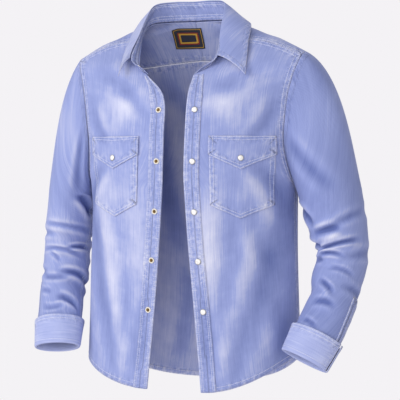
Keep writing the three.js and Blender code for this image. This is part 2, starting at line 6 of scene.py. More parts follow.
import bpy
import numpy as np
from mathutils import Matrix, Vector


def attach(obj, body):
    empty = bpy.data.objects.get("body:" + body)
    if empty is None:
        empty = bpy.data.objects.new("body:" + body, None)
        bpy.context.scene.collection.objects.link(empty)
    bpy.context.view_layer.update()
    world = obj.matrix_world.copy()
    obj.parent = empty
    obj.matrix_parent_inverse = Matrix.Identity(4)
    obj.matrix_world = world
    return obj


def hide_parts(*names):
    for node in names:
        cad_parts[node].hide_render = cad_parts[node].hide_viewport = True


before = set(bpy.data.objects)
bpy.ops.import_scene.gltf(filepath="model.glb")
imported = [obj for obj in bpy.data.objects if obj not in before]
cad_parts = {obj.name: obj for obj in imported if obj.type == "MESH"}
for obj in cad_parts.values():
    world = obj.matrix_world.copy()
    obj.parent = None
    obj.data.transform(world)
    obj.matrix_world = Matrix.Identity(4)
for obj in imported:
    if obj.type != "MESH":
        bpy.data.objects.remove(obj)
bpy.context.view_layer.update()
scene = bpy.context.scene

# Fronts
# The two fronts are cut from light washed denim, a cotton twill with indigo warp and white weft. Each is
# joined to the back at the side, to the yoke at the shoulder and to the sleeve round the armhole, by seams
# folded flat and stitched twice, which pucker in the wash and wear pale on their high spots.
MM = 0.001
CLOTH = 1.4  # thickness of the walls of cloth
SEAM_GAP = 0.3  # between neighbouring pieces
NECK_X = -14  # the open neck hangs a little to the wearer's right
SIDES = {"left": 1, "right": -1}
STEP = 1e-3  # how far apart two places are taken to find a slope


def columns(names, rows):
    """Turns rows of numbers into named columns."""
    return dict(zip(names.split(), np.array(rows, float).T))


# Rows from the hem up to the shoulder: the side seam and its turn, the free edge, and the bend between them.
FRONT = columns(
    "sideX sideY sideZ turn leftX rightX edgeY edgeZ dip rise drop",
    [
        [228, 0, -664, 0, 64, -50, -129, -730, 2, 0, 18],
        [223, 0, -560, 0, 50, -33, -130, -566, 1.6, 0, 6],
        [219, 0, -440, 0, 38, -23, -131, -440, 1, 0, 0],
        [220, 0, -336, 0, 30, -16, -132, -330, 1, 0, 0],
        [216, -36, -300, 15, 29, -15, -132, -290, 1, 0, 0],
        [209, -57, -235, 26, 30, -14, -129, -226, 1, 0, 0],
        [216, -59, -158, 31, 30, -20, -113, -150, 1, 2, 0],
        [225, -53, -114, 38, 34, -67, -86, -104, 1, 5, 0],
        [233, -46, -87, 46, 62, -90, -68, -84, 1, 8, 0],
        [239, -35, -68, 55, 75, -103, -27, -30, 1, 13, 0],
    ],
)
ARMPIT = 3
NECK_CORNER = 7
FRONT_TOP = 9


def along(column, v, corner=-1):
    """A smooth curve through a column's values, broken at a corner row."""
    last = len(column) - 1
    i = np.clip(np.floor(v).astype(int), 0, last - 1)
    b, c = column[i], column[i + 1]
    a = np.where((i == 0) | (i == corner), 2 * b - c, column[np.maximum(i - 1, 0)])
    d = np.where((i + 2 > last) | (i + 1 == corner), 2 * c - b, column[np.minimum(i + 2, last)])
    t = v - i
    return b + 0.5 * t * (c - a + t * (2 * a - 5 * b + 4 * c - d + t * (3 * (b - c) + d - a)))


def stack(x, y, z):
    return np.stack(np.broadcast_arrays(x, y, z), axis=-1).astype(float)


def section_point(rows, v, side, f, edge_x, corner, armpit):
    """A point of a panel: f runs from the side to the middle or neck, v counts rows up."""
    start = np.radians(np.maximum(along(rows["turn"], v, armpit), 0))
    turned = start + (math.pi / 2 - start) * f
    reach = np.cos(turned) / np.cos(start)
    across = np.maximum(1 - reach, 0)
    forward = (np.sin(turned) - np.sin(start)) / (1 - np.sin(start))
    side_y = along(rows["sideY"], v, armpit)
    side_z = along(rows["sideZ"], v) - (along(rows["drop"], v) if side < 0 else 0)
    level = 1 - np.maximum(1 - across, 0) ** along(rows["dip"], v)
    return stack(
        edge_x + (side * along(rows["sideX"], v) - edge_x) * reach,
        side_y + (along(rows["edgeY"], v, corner) - side_y) * forward,
        side_z
        + (along(rows["edgeZ"], v, corner) - side_z) * level
        + along(rows["rise"], v) * 4 * across * (1 - across),
    )


def front_edge_x(side, v):
    return along(FRONT["leftX" if side > 0 else "rightX"], v, NECK_CORNER)


def front_point(side):
    return lambda f, v: section_point(FRONT, v, side, f, front_edge_x(side, v), NECK_CORNER, ARMPIT)


def unit(vectors):
    return vectors / np.maximum(np.linalg.norm(vectors, axis=-1, keepdims=True), 1e-9)


def normals(surface, u, v, u_range, v_range, inside):
    """The outward direction of a surface, away from the inside point that belongs to each point."""
    u0 = np.clip(u, u_range[0] + STEP, u_range[1] - STEP)
    v0 = np.clip(v, v_range[0] + STEP, v_range[1] - STEP)
    run = surface(u0 + STEP, v0) - surface(u0 - STEP, v0)
    rise = surface(u0, v0 + STEP) - surface(u0, v0 - STEP)
    n = unit(np.cross(run, rise))
    away = surface(u, v) - inside(surface(u, v))
    return np.where(np.sum(n * away, axis=-1, keepdims=True) < 0, -n, n)


MIDDLE = {"below": 60, "lowest": -700, "highest": -150}


def body_middle(p):
    """A point inside the body, on its middle line and a little below each point of its cloth."""
    height = np.clip(p[..., 2] - MIDDLE["below"], MIDDLE["lowest"], MIDDLE["highest"])
    return stack(0 * height, 0 * height, height)


RIDGE = {"share": 0.45, "away": 1.9, "spread": 0.8}  # the cloth pushed up beside each trough


def creases(table, a, b):
    """Soft troughs and ridges. Each row of the table holds a crease's middle, half length, half width and
    depth, its angle up from the first direction, and how far its ends curve."""
    height = np.zeros(np.shape(a))
    for middle_a, middle_b, length, width, depth, angle, bend in table:
        c, s = math.cos(math.radians(angle)), math.sin(math.radians(angle))
        run = ((a - middle_a) * c + (b - middle_b) * s) / length
        off = (-(a - middle_a) * s + (b - middle_b) * c - bend * run**2) / width
        ridge = RIDGE["share"] * np.exp(-((np.abs(off) - RIDGE["away"]) ** 2) / RIDGE["spread"])
        height -= depth * (np.exp(-(off**2)) - ridge) * np.exp(-(run**4))
    return height


# Uneven folds of the left and right fronts, placed by x and z: where the open fronts hang from the chest and
# where the sides sag.
FRONT_FOLDS = {
    1: [
        [118, -470, 150, 26, 3.2, 86, 6],
        [176, -520, 110, 20, 3.6, 80, -5],
        [72, -600, 90, 16, 2.2, 97, 4],
        [196, -330, 60, 14, 3.0, 118, 8],
        [182, -200, 46, 11, 2.4, 62, 8],
        [168, -420, 70, 13, 2.0, 104, -6],
        [120, -120, 60, 16, 1.6, 28, 6],
        [140, -640, 70, 15, 2.4, 84, 3],
        [208, -610, 60, 12, 2.6, 92, 3],
    ],
    -1: [
        [-110, -480, 140, 24, 3.0, 95, -6],
        [-170, -500, 120, 20, 3.4, 100, 5],
        [-60, -610, 90, 16, 2.2, 82, 4],
        [-190, -330, 56, 13, 2.8, 60, -8],
        [-176, -205, 44, 11, 2.4, 118, -8],
        [-120, -125, 60, 15, 1.6, 150, 6],
        [-140, -630, 70, 14, 2.2, 97, 3],
        [-80, -160, 44, 11, 1.4, 140, 4],
    ],
}


def front_relief(side):
    return lambda p: creases(FRONT_FOLDS[side], p[..., 0], p[..., 2])


def raised(surface, relief, u_range, v_range, inside):
    """The surface with its folds, and the outward direction of each point."""

    def place(u, v, lift=0):
        p = surface(u, v)
        n = normals(surface, u, v, u_range, v_range, inside)
        return p + n * np.expand_dims(relief(p) + lift, -1), n, relief(p)

    return place


def spread(count, start=0.0, end=1.0):
    return np.linspace(start, end, count + 1)


EDGES_APART = 900  # keeps the puckers of one edge from repeating along the next
FAR_FROM_SEAMS = 99.0


def edge_runs(p, edges):
    """Each point's distance to the nearest of the named edges of its grid, and how far along that edge it
    lies, with its place across and down the cloth."""
    steps_across = np.linalg.norm(np.diff(p, axis=1), axis=-1)
    steps_down = np.linalg.norm(np.diff(p, axis=0), axis=-1)
    across = np.concatenate([0 * p[:, :1, 0], np.cumsum(steps_across, 1)], 1)
    down = np.concatenate([0 * p[:1, :, 0], np.cumsum(steps_down, 0)], 0)
    choices = {
        "first": (across, down),
        "last": (across[:, -1:] - across, down + EDGES_APART),
        "bottom": (down, across + 2 * EDGES_APART),
        "top": (down[-1:] - down, across + 3 * EDGES_APART),
    }
    best, run = np.full(across.shape, FAR_FROM_SEAMS), 0 * across
    for name in edges.split():
        distance, position = choices[name]
        run = np.where(distance < best, position, run)
        best = np.minimum(distance, best)
    return best, run, across, down


INSIDE_PALER = 0.15  # the wrong side of the twill shows more of its white weft


def shell(name, place, us, vs, thickness, material, lift=0, edges="", closed=False, fade_and_painted_light=None):
    """A wall of cloth on a grid of stations, closed at its rims, or a tube whose last column is its first.
    It carries the distance to its nearest seam, the place along it, the fade with the light and shade
    painted into some pieces, and the height of its folds, which the denim reads."""
    p, n, fold = place(*np.meshgrid(us, vs), lift)
    grids = [p, n, fold, *edge_runs(p, edges)]
    if closed:
        grids = [grid[:, :-1] for grid in grids]
    p, n, fold, seam, run, across, down = grids
    rows, cols = seam.shape
    count = rows * cols
    ids = np.arange(count).reshape(rows, cols)
    if closed:
        ids = np.concatenate([ids, ids[:, :1]], 1)
    quads = np.stack([ids[:-1, :-1], ids[:-1, 1:], ids[1:, 1:], ids[1:, :-1]], -1).reshape(-1, 4)
    centre = quads[len(quads) // 2]
    flat = p.reshape(-1, 3)
    facing = np.cross(flat[centre[1]] - flat[centre[0]], flat[centre[2]] - flat[centre[0]])
    if np.dot(facing, n.reshape(-1, 3)[centre[0]]) < 0:
        quads = quads[:, ::-1]
    borders = [ids[0], ids[-1]] if closed else [ids[0], ids[:, -1], ids[-1, ::-1], ids[::-1, 0]]
    forward = {(a, b) for q in quads for a, b in zip(q, np.roll(q, -1))}
    rims = []
    for border in borders:
        for a, b in zip(border[:-1], border[1:]):
            a, b = (a, b) if (a, b) in forward else (b, a)
            rims.append([b, a, a + count, b + count])
    faces = quads.tolist() + (quads[:, ::-1] + count).tolist() + rims
    n = n.reshape(-1, 3) * thickness / 2
    points = np.concatenate([flat + n, flat - n]) * MM
    mesh = bpy.data.meshes.new(name)
    mesh.from_pydata(points.tolist(), [], faces)
    mesh.polygons.foreach_set("use_smooth", [True] * len(faces))
    uv = mesh.uv_layers.new(name="cloth")
    places = np.stack([across.ravel(), down.ravel()], -1) * MM
    corner = np.empty(len(mesh.loops), int)
    mesh.loops.foreach_get("vertex_index", corner)
    uv.data.foreach_set("uv", places[corner % count].ravel())
    shade = fade_and_painted_light(p) if fade_and_painted_light else 0 * seam
    for label, values, inner in (
        ("seam", seam, 0),
        ("run", run, 0),
        ("fade_and_painted_light", shade, INSIDE_PALER),
        ("fold", fold, 0),
    ):
        layer = mesh.attributes.new(label, "FLOAT", "POINT")
        layer.data.foreach_set("value", np.concatenate([values.ravel(), values.ravel() + inner]))
    piece = bpy.data.objects.new(name, mesh)
    scene.collection.objects.link(piece)
    mesh.materials.append(material)
    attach(piece, "root")
    return piece


def linear(hex_colour):
    """An sRGB hex colour as linear values with alpha."""
    parts = [int(hex_colour[i : i + 2], 16) / 255 for i in (1, 3, 5)]
    return [c / 12.92 if c <= 0.04045 else ((c + 0.055) / 1.055) ** 2.4 for c in parts] + [1]


def node(material, kind, inputs=None, **settings):
    """Adds a node with its settings, and sets or links its inputs."""
    made = material.node_tree.nodes.new("ShaderNode" + kind)
    for name, value in settings.items():
        setattr(made, name, value)
    for name, value in (inputs or {}).items():
        if isinstance(value, bpy.types.NodeSocket):
            material.node_tree.links.new(value, made.inputs[name])
        else:
            made.inputs[name].default_value = value
    return made.outputs[0] if made.outputs else made


# Twill is woven at about 0.5 mm a thread, too fine to show at the photograph's distance, so its wale is
# drawn at 2.2 mm and its slubs, the thick places of ring-spun warp, at 2.4 mm by 70 mm. The wash mottles it
# over 45 mm, and a seam puckers every 7.5 mm along and 11 mm across.
WALE = 2.2 * MM
SLUB = (1 / (2.4 * MM), 1 / (70 * MM), 0)
MOTTLE = 1 / (45 * MM)
PUCKER = (1 / 7.5, 1 / 11, 0)
# Distances from a seam at which its puckers, its worn rim and the ridge of its folded allowance begin to
# give out and are gone.
PUCKERED, WORN_RIM, ALLOWANCE = (9.0, 20.0), (0.8, 2.6), (9.3, 11.5)


def washed_denim(name, deep, middle, pale, streak=0.4, turned=False):
    """Washed cotton twill: matt, streaked along the warp, mottled by the wash, and pale where its seams
    stand proud and darker where they sink. Painted shade darkens the troughs of its folds and painted light
    makes their ridges paler. The eye reads it as soft, dry and slightly hairy."""
    material = bpy.data.materials.new(name)
    material.use_nodes = True
    material.node_tree.nodes.clear()
    cloth = node(material, "UVMap", uv_map="cloth")
    seam, run, fade_and_painted_light, fold = (
        node(material, "Attribute", attribute_name=label).node.outputs["Fac"]
        for label in ("seam", "run", "fade_and_painted_light", "fold")
    )
    if turned:
        quarter_turn = {"Vector": cloth, "Angle": math.pi / 2}
        cloth = node(material, "VectorRotate", quarter_turn, rotation_type="Z_AXIS")
    slub_place = node(material, "VectorMath", {0: cloth, 1: SLUB}, operation="MULTIPLY")
    slub = node(material, "TexNoise", {"Vector": slub_place, "Scale": 1.0, "Detail": 3.0, "Roughness": 0.6})
    mottle = node(material, "TexNoise", {"Vector": cloth, "Scale": MOTTLE, "Detail": 4.0, "Roughness": 0.6})
    seam_place = node(material, "CombineXYZ", {"X": run, "Y": seam})
    pucker_place = node(material, "VectorMath", {0: seam_place, 1: PUCKER}, operation="MULTIPLY")
    pucker_noise = {"Vector": pucker_place, "Scale": 1.0, "Detail": 2.0, "Roughness": 0.7}
    pucker = node(material, "TexNoise", pucker_noise)
    bands = []
    for giving_out, gone in (PUCKERED, WORN_RIM, ALLOWANCE):
        away = {"Value": seam, "From Min": giving_out, "From Max": gone, "To Min": 1.0, "To Max": 0.0}
        bands.append(node(material, "MapRange", away, interpolation_type="SMOOTHSTEP"))
    puckered, rim, allowance = bands
    pucker_high = node(material, "Math", {0: pucker, 1: 0.5}, operation="SUBTRACT")
    pucker_mask = node(material, "Math", {0: pucker_high, 1: puckered}, operation="MULTIPLY")
    tone = node(material, "Math", {0: slub, 1: streak, 2: 0.5 - 0.5 * streak}, operation="MULTIPLY_ADD")
    # How much each source changes the tone, from deep at 0 to pale at 1, and what levels it out. The fold
    # height paints shade into the troughs of the folds and light on to their ridges.
    for source, amount, level in (
        (mottle, 0.38, -0.19),
        (pucker_mask, 0.85, 0.0),
        (rim, 0.16, 0.0),
        (fade_and_painted_light, 0.5, 0.0),
        (fold, 0.085, 0.0),
    ):
        part = node(material, "Math", {0: source, 1: amount, 2: level}, operation="MULTIPLY_ADD")
        tone = node(material, "Math", {0: tone, 1: part}, operation="ADD")
    ramp = node(material, "ValToRGB", {"Fac": tone})
    stops = ramp.node.color_ramp.elements
    stops[0].color, stops[1].color = linear(deep), linear(pale)
    stops.new(0.5).color = linear(middle)
    wale_lines = {"Vector": cloth, "Scale": 1 / WALE / math.tau * 2, "Distortion": 1.2, "Detail": 1.0}
    wale = node(material, "TexWave", wale_lines, bands_direction="DIAGONAL").node.outputs["Fac"]
    height = node(material, "Math", {0: wale, 1: 0.10}, operation="MULTIPLY")
    # How high each source stands, in millimetres.
    for source, amount in ((slub, 0.3), (pucker_mask, 3.2), (allowance, 0.55), (mottle, 0.5)):
        part = node(material, "Math", {0: source, 1: amount, 2: 0.0}, operation="MULTIPLY_ADD")
        height = node(material, "Math", {0: height, 1: part}, operation="ADD")
    bump = node(material, "Bump", {"Height": height, "Strength": 1.0, "Distance": MM})
    shader = node(
        material,
        "BsdfPrincipled",
        {
            "Base Color": ramp,
            "Normal": bump,
            "Roughness": 0.92,
            "IOR": 1.5,
            "Specular IOR Level": 0.25,
            "Sheen Weight": 0.12,
            "Sheen Roughness": 0.5,
        },
    )
    node(material, "OutputMaterial", {"Surface": shader})
    return material


DENIM = washed_denim("light_washed_denim", "#5d6ba3", "#8f9acb", "#dedeea")


# Where the wash has taken the fronts pale or left them dark: middle x and z, half width, half height and
# amount.
FRONT_FADES = [
    [100, -166, 46, 30, 0.4],
    [-112, -172, 42, 32, 0.42],
    [92, -455, 36, 120, 0.56],
    [-112, -455, 34, 120, 0.6],
    [212, -470, 30, 260, -0.3],
    [-214, -430, 26, 240, -0.35],
    [60, -690, 70, 26, -0.12],
    [150, -110, 40, 26, 0.2],
    [70, -300, 22, 90, -0.2],
]


def faded(patches):
    return lambda p: sum(
        amount * np.exp(-(((p[..., 0] - x) / wide) ** 2) - ((p[..., 2] - z) / high) ** 2)
        for x, z, wide, high, amount in patches
    )


FRONT_GRID = {"across": 84, "up": 190}  # about 3.6 mm between points
front_cloth = {}
for name, side in SIDES.items():
    front_cloth[side] = raised(front_point(side), front_relief(side), (0, 1), (0, FRONT_TOP), body_middle)
    front = shell(
        "front_panel_" + name,
        front_cloth[side],
        spread(FRONT_GRID["across"], 0.0005, 1),
        spread(FRONT_GRID["up"], 0, FRONT_TOP - 0.012),
        CLOTH,
        DENIM,
        edges="first bottom top",
        fade_and_painted_light=faded(FRONT_FADES),
    )
    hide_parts("front_" + name)


# Stitches
# Topstitching is thick pale polyester-cotton thread, seven stitches to the inch, sunk a little into the
# cloth. Each stitch is a short lozenge, slightly humped and narrower at its ends.
STITCH = {"start": 0.4, "pitch": 3.6, "length": 2.7, "half": 0.5, "high": 0.38, "end": 0.35}
STITCH_STATIONS = np.array([0, 0.25, 0.75, 1])
STITCH_SWELL = np.array([STITCH["end"], 1, 1, STITCH["end"]])
STITCH_SECTION = ((1, 0), (0, 1), (-1, 0), (0, -0.6))  # shares of half and high, lowest in the cloth
thread_faces, thread_points = {}, {}


def sew(group, points, outward):
    """Adds a row of stitches along a line of points, with the outward direction of each."""
    points, outward = np.asarray(points, float), unit(np.asarray(outward, float))
    reach = np.concatenate([[0], np.cumsum(np.linalg.norm(np.diff(points, axis=0), axis=1))])
    starts = np.arange(STITCH["start"], reach[-1] - STITCH["length"], STITCH["pitch"])
    at = starts[:, None] + STITCH_STATIONS * STITCH["length"]
    p = np.stack([np.interp(at, reach, points[:, i]) for i in range(3)], -1)
    n = unit(np.stack([np.interp(at, reach, outward[:, i]) for i in range(3)], -1))
    sideways = unit(np.cross(n, unit(p[:, -1:] - p[:, :1])))
    ring = []
    for a, b in STITCH_SECTION:
        off = sideways * a * STITCH["half"] + n * b * STITCH["high"]
        ring.append(p + STITCH_SWELL[None, :, None] * off)
    made = np.stack(ring, 2)
    first = sum(len(part) for part in thread_points.setdefault(group, []))
    base = first + np.arange(len(starts))[:, None] * made.shape[1] * made.shape[2]
    faces = []
    for k in range(len(STITCH_STATIONS) - 1):
        for j in range(4):
            a, b = k * 4 + j, k * 4 + (j + 1) % 4
            faces.append(base + np.array([[a, b, b + 4, a + 4]]))
    faces += [base + np.array([[3, 2, 1, 0]]), base + np.array([[12, 13, 14, 15]])]
    thread_points[group].append(made.reshape(-1, 3))
    thread_faces.setdefault(group, []).append(np.concatenate(faces))


def sew_on(group, place, us, vs, lift):
    """Stitches along a line of a cloth's own places, on top of it."""
    u, v = np.broadcast_arrays(np.asarray(us, float), np.asarray(vs, float))
    p, n, _ = place(u, v, lift)
    sew(group, p, n)


ON_TOP = CLOTH / 2 + 0.1
ON_PANEL = CLOTH / 2 + SEAM_GAP


def inset(place, u, v, toward, distance):
    """Moves a line of places by a distance in millimetres across the cloth, in the direction of toward."""
    step = 0.004
    p0 = place(u, v)[0]
    p1 = place(u + toward[0] * step, v + toward[1] * step)[0]
    share = distance / np.maximum(np.linalg.norm(p1 - p0, axis=-1), 1e-6) * step
    return u + toward[0] * share, v + toward[1] * share


# Rows of stitches, in millimetres from the seam or the edge.
TWIN_ROWS = (3, 9.5)
CLOSE_TWIN_ROWS = (2.5, 8.5)
HEM_ROW = 9
line = spread(160)
for name, side in SIDES.items():
    side_seam = (0 * line + 0.001, line * (FRONT_TOP - 0.1), (1, 0))
    shoulder_seam = (line * 0.985 + 0.005, 0 * line + FRONT_TOP - 0.014, (0, -1))
    for distance in TWIN_ROWS:
        for u, v, toward in (side_seam, shoulder_seam):
            places = inset(front_cloth[side], u, v, toward, distance)
            sew_on("front_" + name, front_cloth[side], *places, ON_TOP)
    hem = inset(front_cloth[side], line * 0.93 + 0.01, 0 * line, (0, 1), HEM_ROW)
    sew_on("front_" + name, front_cloth[side], *hem, ON_TOP)

# Back
# The back is one piece from the hem to the yoke, of the same denim, sewn to the fronts at the sides and to
# the yoke above by seams stitched twice. Its inside shows through the open front.
BACK = columns(
    "sideX sideY sideZ turn edgeX edgeY edgeZ dip rise drop",
    [
        [228, 0, -664, 0, 0, 129, -745, 3, 0, 18],
        [223, 0, -560, 0, 0, 128, -568, 1.8, 0, 6],
        [219, 0, -440, 0, 0, 127, -440, 1, 0, 0],
        [220, 0, -336, 0, 0, 131, -330, 1, 0, 0],
        [217, 35, -300, 15, -2, 133, -290, 1, 0, 0],
        [212, 58, -235, 26, -5, 131, -226, 1, 0, 0],
        [218, 61, -158, 31, -9, 120, -148, 1, 2, 0],
        [229, 49, -94, 40, -14, 98, -64, 1, 4, 0],
    ],
)
BACK_FOLDS = [
    [120, -300, 130, 22, 3.4, 78, 8],
    [-110, -320, 140, 24, 3.6, 103, -8],
    [20, -520, 120, 26, 2.6, 92, 6],
    [-60, -610, 90, 18, 2.4, 84, 4],
    [84, -600, 90, 18, 2.2, 97, 4],
    [170, -480, 110, 18, 3.0, 84, 6],
    [-172, -470, 120, 19, 3.2, 97, -6],
    [60, -140, 60, 16, 1.8, 60, 5],
    [-70, -150, 60, 16, 1.8, 122, 5],
]
BACK_FADES = [
    [0, -330, 130, 160, 0.3],
    [0, -640, 160, 60, 0.1],
    [212, -450, 36, 220, -0.4],
    [-212, -450, 36, 220, -0.4],
]


def back_surface(u, v):
    """u runs from the wearer's right side, -1, to the left side, 1, with the middle at 0."""
    edge_x = along(BACK["edgeX"], v)
    pair = [section_point(BACK, v, side, 1 - np.abs(u), edge_x, -1, ARMPIT) for side in (1, -1)]
    return np.where(np.expand_dims(u > 0, -1), *pair)


def back_relief(p):
    return creases(BACK_FOLDS, p[..., 0], p[..., 2])


BACK_TOP = 7
BACK_SIDE = 0.9995  # just inside the side seams
back_cloth = raised(back_surface, back_relief, (-1, 1), (0, BACK_TOP), body_middle)
back = shell(
    "back_panel",
    back_cloth,
    spread(150, -BACK_SIDE, BACK_SIDE),
    spread(180, 0, BACK_TOP - 0.007),
    CLOTH,
    DENIM,
    edges="first last bottom top",
    fade_and_painted_light=faded(BACK_FADES),
)
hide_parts("back")
for side in (1, -1):
    for distance in CLOSE_TWIN_ROWS:
        for up_side in (line * ARMPIT, ARMPIT + line * (BACK_TOP - ARMPIT - 0.05)):
            places = inset(back_cloth, 0 * line + side * BACK_SIDE, up_side, (-side, 0), distance)
            sew_on("back", back_cloth, *places, ON_TOP)
hem = spread(300, -0.985, 0.985)
for lift in (ON_TOP, -ON_TOP):
    sew_on("back", back_cloth, *inset(back_cloth, hem, 0 * hem, (0, 1), HEM_ROW), lift)

# Yoke
# A single shaped piece of the same denim across the shoulders, topstitched along the back seam and the two
# shoulder seams. Here it is two halves that meet on the middle line.
YOKE = columns(
    "sideX sideY sideZ turn edgeX edgeY edgeZ dip rise drop",
    [
        [229, 49, -94, 40, 0, 98, -64, 1, 4, 0],
        [235, 35, -77, 45, 0, 79, -24, 1, 5, 0],
        [239, 19, -66, 50, 0, 54, 14, 1, 6, 0],
        [241, 3, -61, 55, 48, 44, 13, 1, 6, 0],
        [242, -9, -60, 60, 82, 20, 8, 1, 7, 0],
        [241, -20, -62, 60, 90, -6, -8, 1, 10, 0],
        [239, -35, -68, 55, 89, -27, -30, 1, 13, 0],
    ],
)
BACK_NECK = 2
YOKE_TOP = 6


def yoke_point(side):
    def surface(f, v):
        edge = NECK_X + side * along(YOKE["edgeX"], v, BACK_NECK)
        return section_point(YOKE, v, side, f, edge, BACK_NECK, -1)

    return surface


def yoke_surface(u, v):
    pair = [yoke_point(side)(1 - np.abs(u), v) for side in (1, -1)]
    return np.where(np.expand_dims(u > 0, -1), *pair)


YOKE_FOLDS = [
    [150, -20, 50, 13, 1.4, 20, 5],
    [-160, -22, 50, 13, 1.4, 160, 5],
    [60, 0, 40, 12, 1.0, 10, 4],
]
YOKE_FADES = [[0, 60, 120, 40, 0.1]]
YOKE_START = 0.006  # just above the back seam


def yoke_relief(p):
    return creases(YOKE_FOLDS, p[..., 0], p[..., 2])


yoke_cloth = {}
for name, side in SIDES.items():
    yoke_cloth[side] = raised(yoke_point(side), yoke_relief, (0, 1), (0, YOKE_TOP), body_middle)
    half = shell(
        "yoke_half_" + name,
        yoke_cloth[side],
        spread(76, 0.001, 1),
        spread(80, YOKE_START, YOKE_TOP - 0.015),
        CLOTH,
        DENIM,
        edges="first bottom top",
        fade_and_painted_light=faded(YOKE_FADES),
    )
    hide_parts("back_yoke")
    for distance in TWIN_ROWS:
        for row, toward in ((YOKE_START, (0, 1)), (YOKE_TOP - 0.02, (0, -1))):
            places = inset(yoke_cloth[side], line * 0.98 + 0.01, 0 * line + row, toward, distance)
            sew_on("yoke", yoke_cloth[side], *places, ON_TOP)
            if row == YOKE_START and distance == TWIN_ROWS[0]:
                sew_on("yoke", yoke_cloth[side], *places, -ON_TOP)

# Placket bands
# A straight band of denim down each front edge, folded under and stitched twice along both sides. The snaps
# sit on it, and it narrows where the neck turns it back.
PLACKET = {"width": 31, "ply": 1.2, "taper": {"left": 0.35, "right": 0.8}}
PLACKET_ROWS = (0.09, 0.2, 0.8, 0.91)  # rows of stitches, in shares of the width


def placket(side, name):
    def place(u, v, lift=0):
        turned_back = np.maximum(v - NECK_CORNER + 1, 0)
        width = PLACKET["width"] * (1 - PLACKET["taper"][name] * turned_back) * u
        edge = np.abs(side * along(FRONT["sideX"], v) - front_edge_x(side, v))
        start = np.radians(np.maximum(along(FRONT["turn"], v, ARMPIT), 0))
        turned = np.arccos(width / edge * np.cos(start))
        return front_cloth[side]((turned - start) / (math.pi / 2 - start), v, lift)

    return place


placket_cloth = {}
for name, side in SIDES.items():
    placket_cloth[side] = placket(side, name)
    band = shell(
        "placket_band_" + name,
        placket_cloth[side],
        spread(12, 0, 1),
        spread(190, 0, NECK_CORNER - 0.06),
        PLACKET["ply"],
        DENIM,
        lift=ON_PANEL + PLACKET["ply"] / 2,
        edges="first last",
        fade_and_painted_light=lambda p: 0 * p[..., 0] - 0.02,
    )
    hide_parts("placket_" + name)
    for share in PLACKET_ROWS:
        sew_on(
            "placket_" + name,
            placket_cloth[side],
            0 * line + share,
            line * (NECK_CORNER - 0.1) + 0.01,
            ON_PANEL + PLACKET["ply"] + 0.1,
        )

# Chest pockets and flaps
# Patch pockets with a pointed bottom under pointed flaps, cut from the same denim and stitched twice round
# their edges on to the fronts. Each flap's seam lies above its pocket and its point is closed by a snap.
POCKET = {"inner": 74, "outer": 192, "shift": 5, "top": -243, "side": -362, "point": -388, "narrow": 3}
FLAP = {"inner": 73, "outer": 193, "shift": 5, "top": -227, "side": -263, "point": -292, "narrow": 0}
THIN_PLY = 1.0
FACET_SAG = 0.6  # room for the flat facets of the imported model
POCKET_LIFT = ON_PANEL + FACET_SAG + THIN_PLY / 2
FLAP_LIFT = {
    "top": ON_PANEL + FACET_SAG / 2 + CLOTH / 2,
    "low": POCKET_LIFT + THIN_PLY / 2 + FACET_SAG + CLOTH / 2,
}
FLAP_BEND = 0.25  # the share of the flap's length in which it climbs on to the pocket
BELLY = 1.2  # how far the middle of a pocket and its flap stand out
# Rows of stitches, as shares of the pocket's and the flap's width and length.
POCKET_ROWS = ((0.018, 0.016), (0.07, 0.055))
FLAP_ROWS = ((0.018, 0.035), (0.07, 0.13))


LOCATING_STEPS = 12


def locate(surface, x, z, u, v, v_max):
    """The cloth's own places of points given by x and z, found in a few steps from a start nearby."""
    u, v = 0 * x + u, 0 * x + v
    for _ in range(LOCATING_STEPS):
        p = surface(u, v)
        du = (surface(u + STEP, v) - p) / STEP
        dv = (surface(u, v + STEP) - p) / STEP
        ex, ez = x - p[..., 0], z - p[..., 2]
        det = du[..., 0] * dv[..., 2] - du[..., 2] * dv[..., 0]
        u = np.clip(u + (ex * dv[..., 2] - ez * dv[..., 0]) / det, 0, 1 - STEP)
        v = np.clip(v + (du[..., 0] * ez - du[..., 2] * ex) / det, 0, v_max - STEP)
    return u, v


def patch(side, shape, rise):
    def place(a, b, lift=0):
        middle = 1 - np.abs(2 * a - 1)
        z = shape["top"] + b * (shape["side"] + (shape["point"] - shape["side"]) * middle - shape["top"])
        narrow = shape["narrow"] * b * (1 - 2 * a)
        x = side * (shape["inner"] + (shape["outer"] - shape["inner"]) * a + narrow) + shape["shift"]
        u, v = locate(front_point(side), x, z, 0.5, 4.5, FRONT_TOP)
        return front_cloth[side](u, v, lift + rise(a, b))

    return place


def outline(steps, inset_a, inset_b, top=False):
    """A stitch line inside a patch: down one side, round the point and up the other."""
    t = spread(steps)
    parts = [
        (0 * t + inset_a, t * (1 - inset_b)),
        (inset_a + t * (1 - 2 * inset_a), 0 * t + 1 - inset_b),
        (0 * t + 1 - inset_a, (1 - inset_b) * (1 - t)),
    ]
    if top:
        parts.append((t, 0 * t + inset_b))
    return parts


def pocket_rise(a, b):
    return BELLY * np.sin(np.pi * a) * np.sin(np.pi * b) ** 0.5


def flap_rise(a, b):
    low = FLAP_LIFT["low"] + BELLY * np.sin(np.pi * a)
    return FLAP_LIFT["top"] + (low - FLAP_LIFT["top"]) * np.minimum(b / FLAP_BEND, 1)


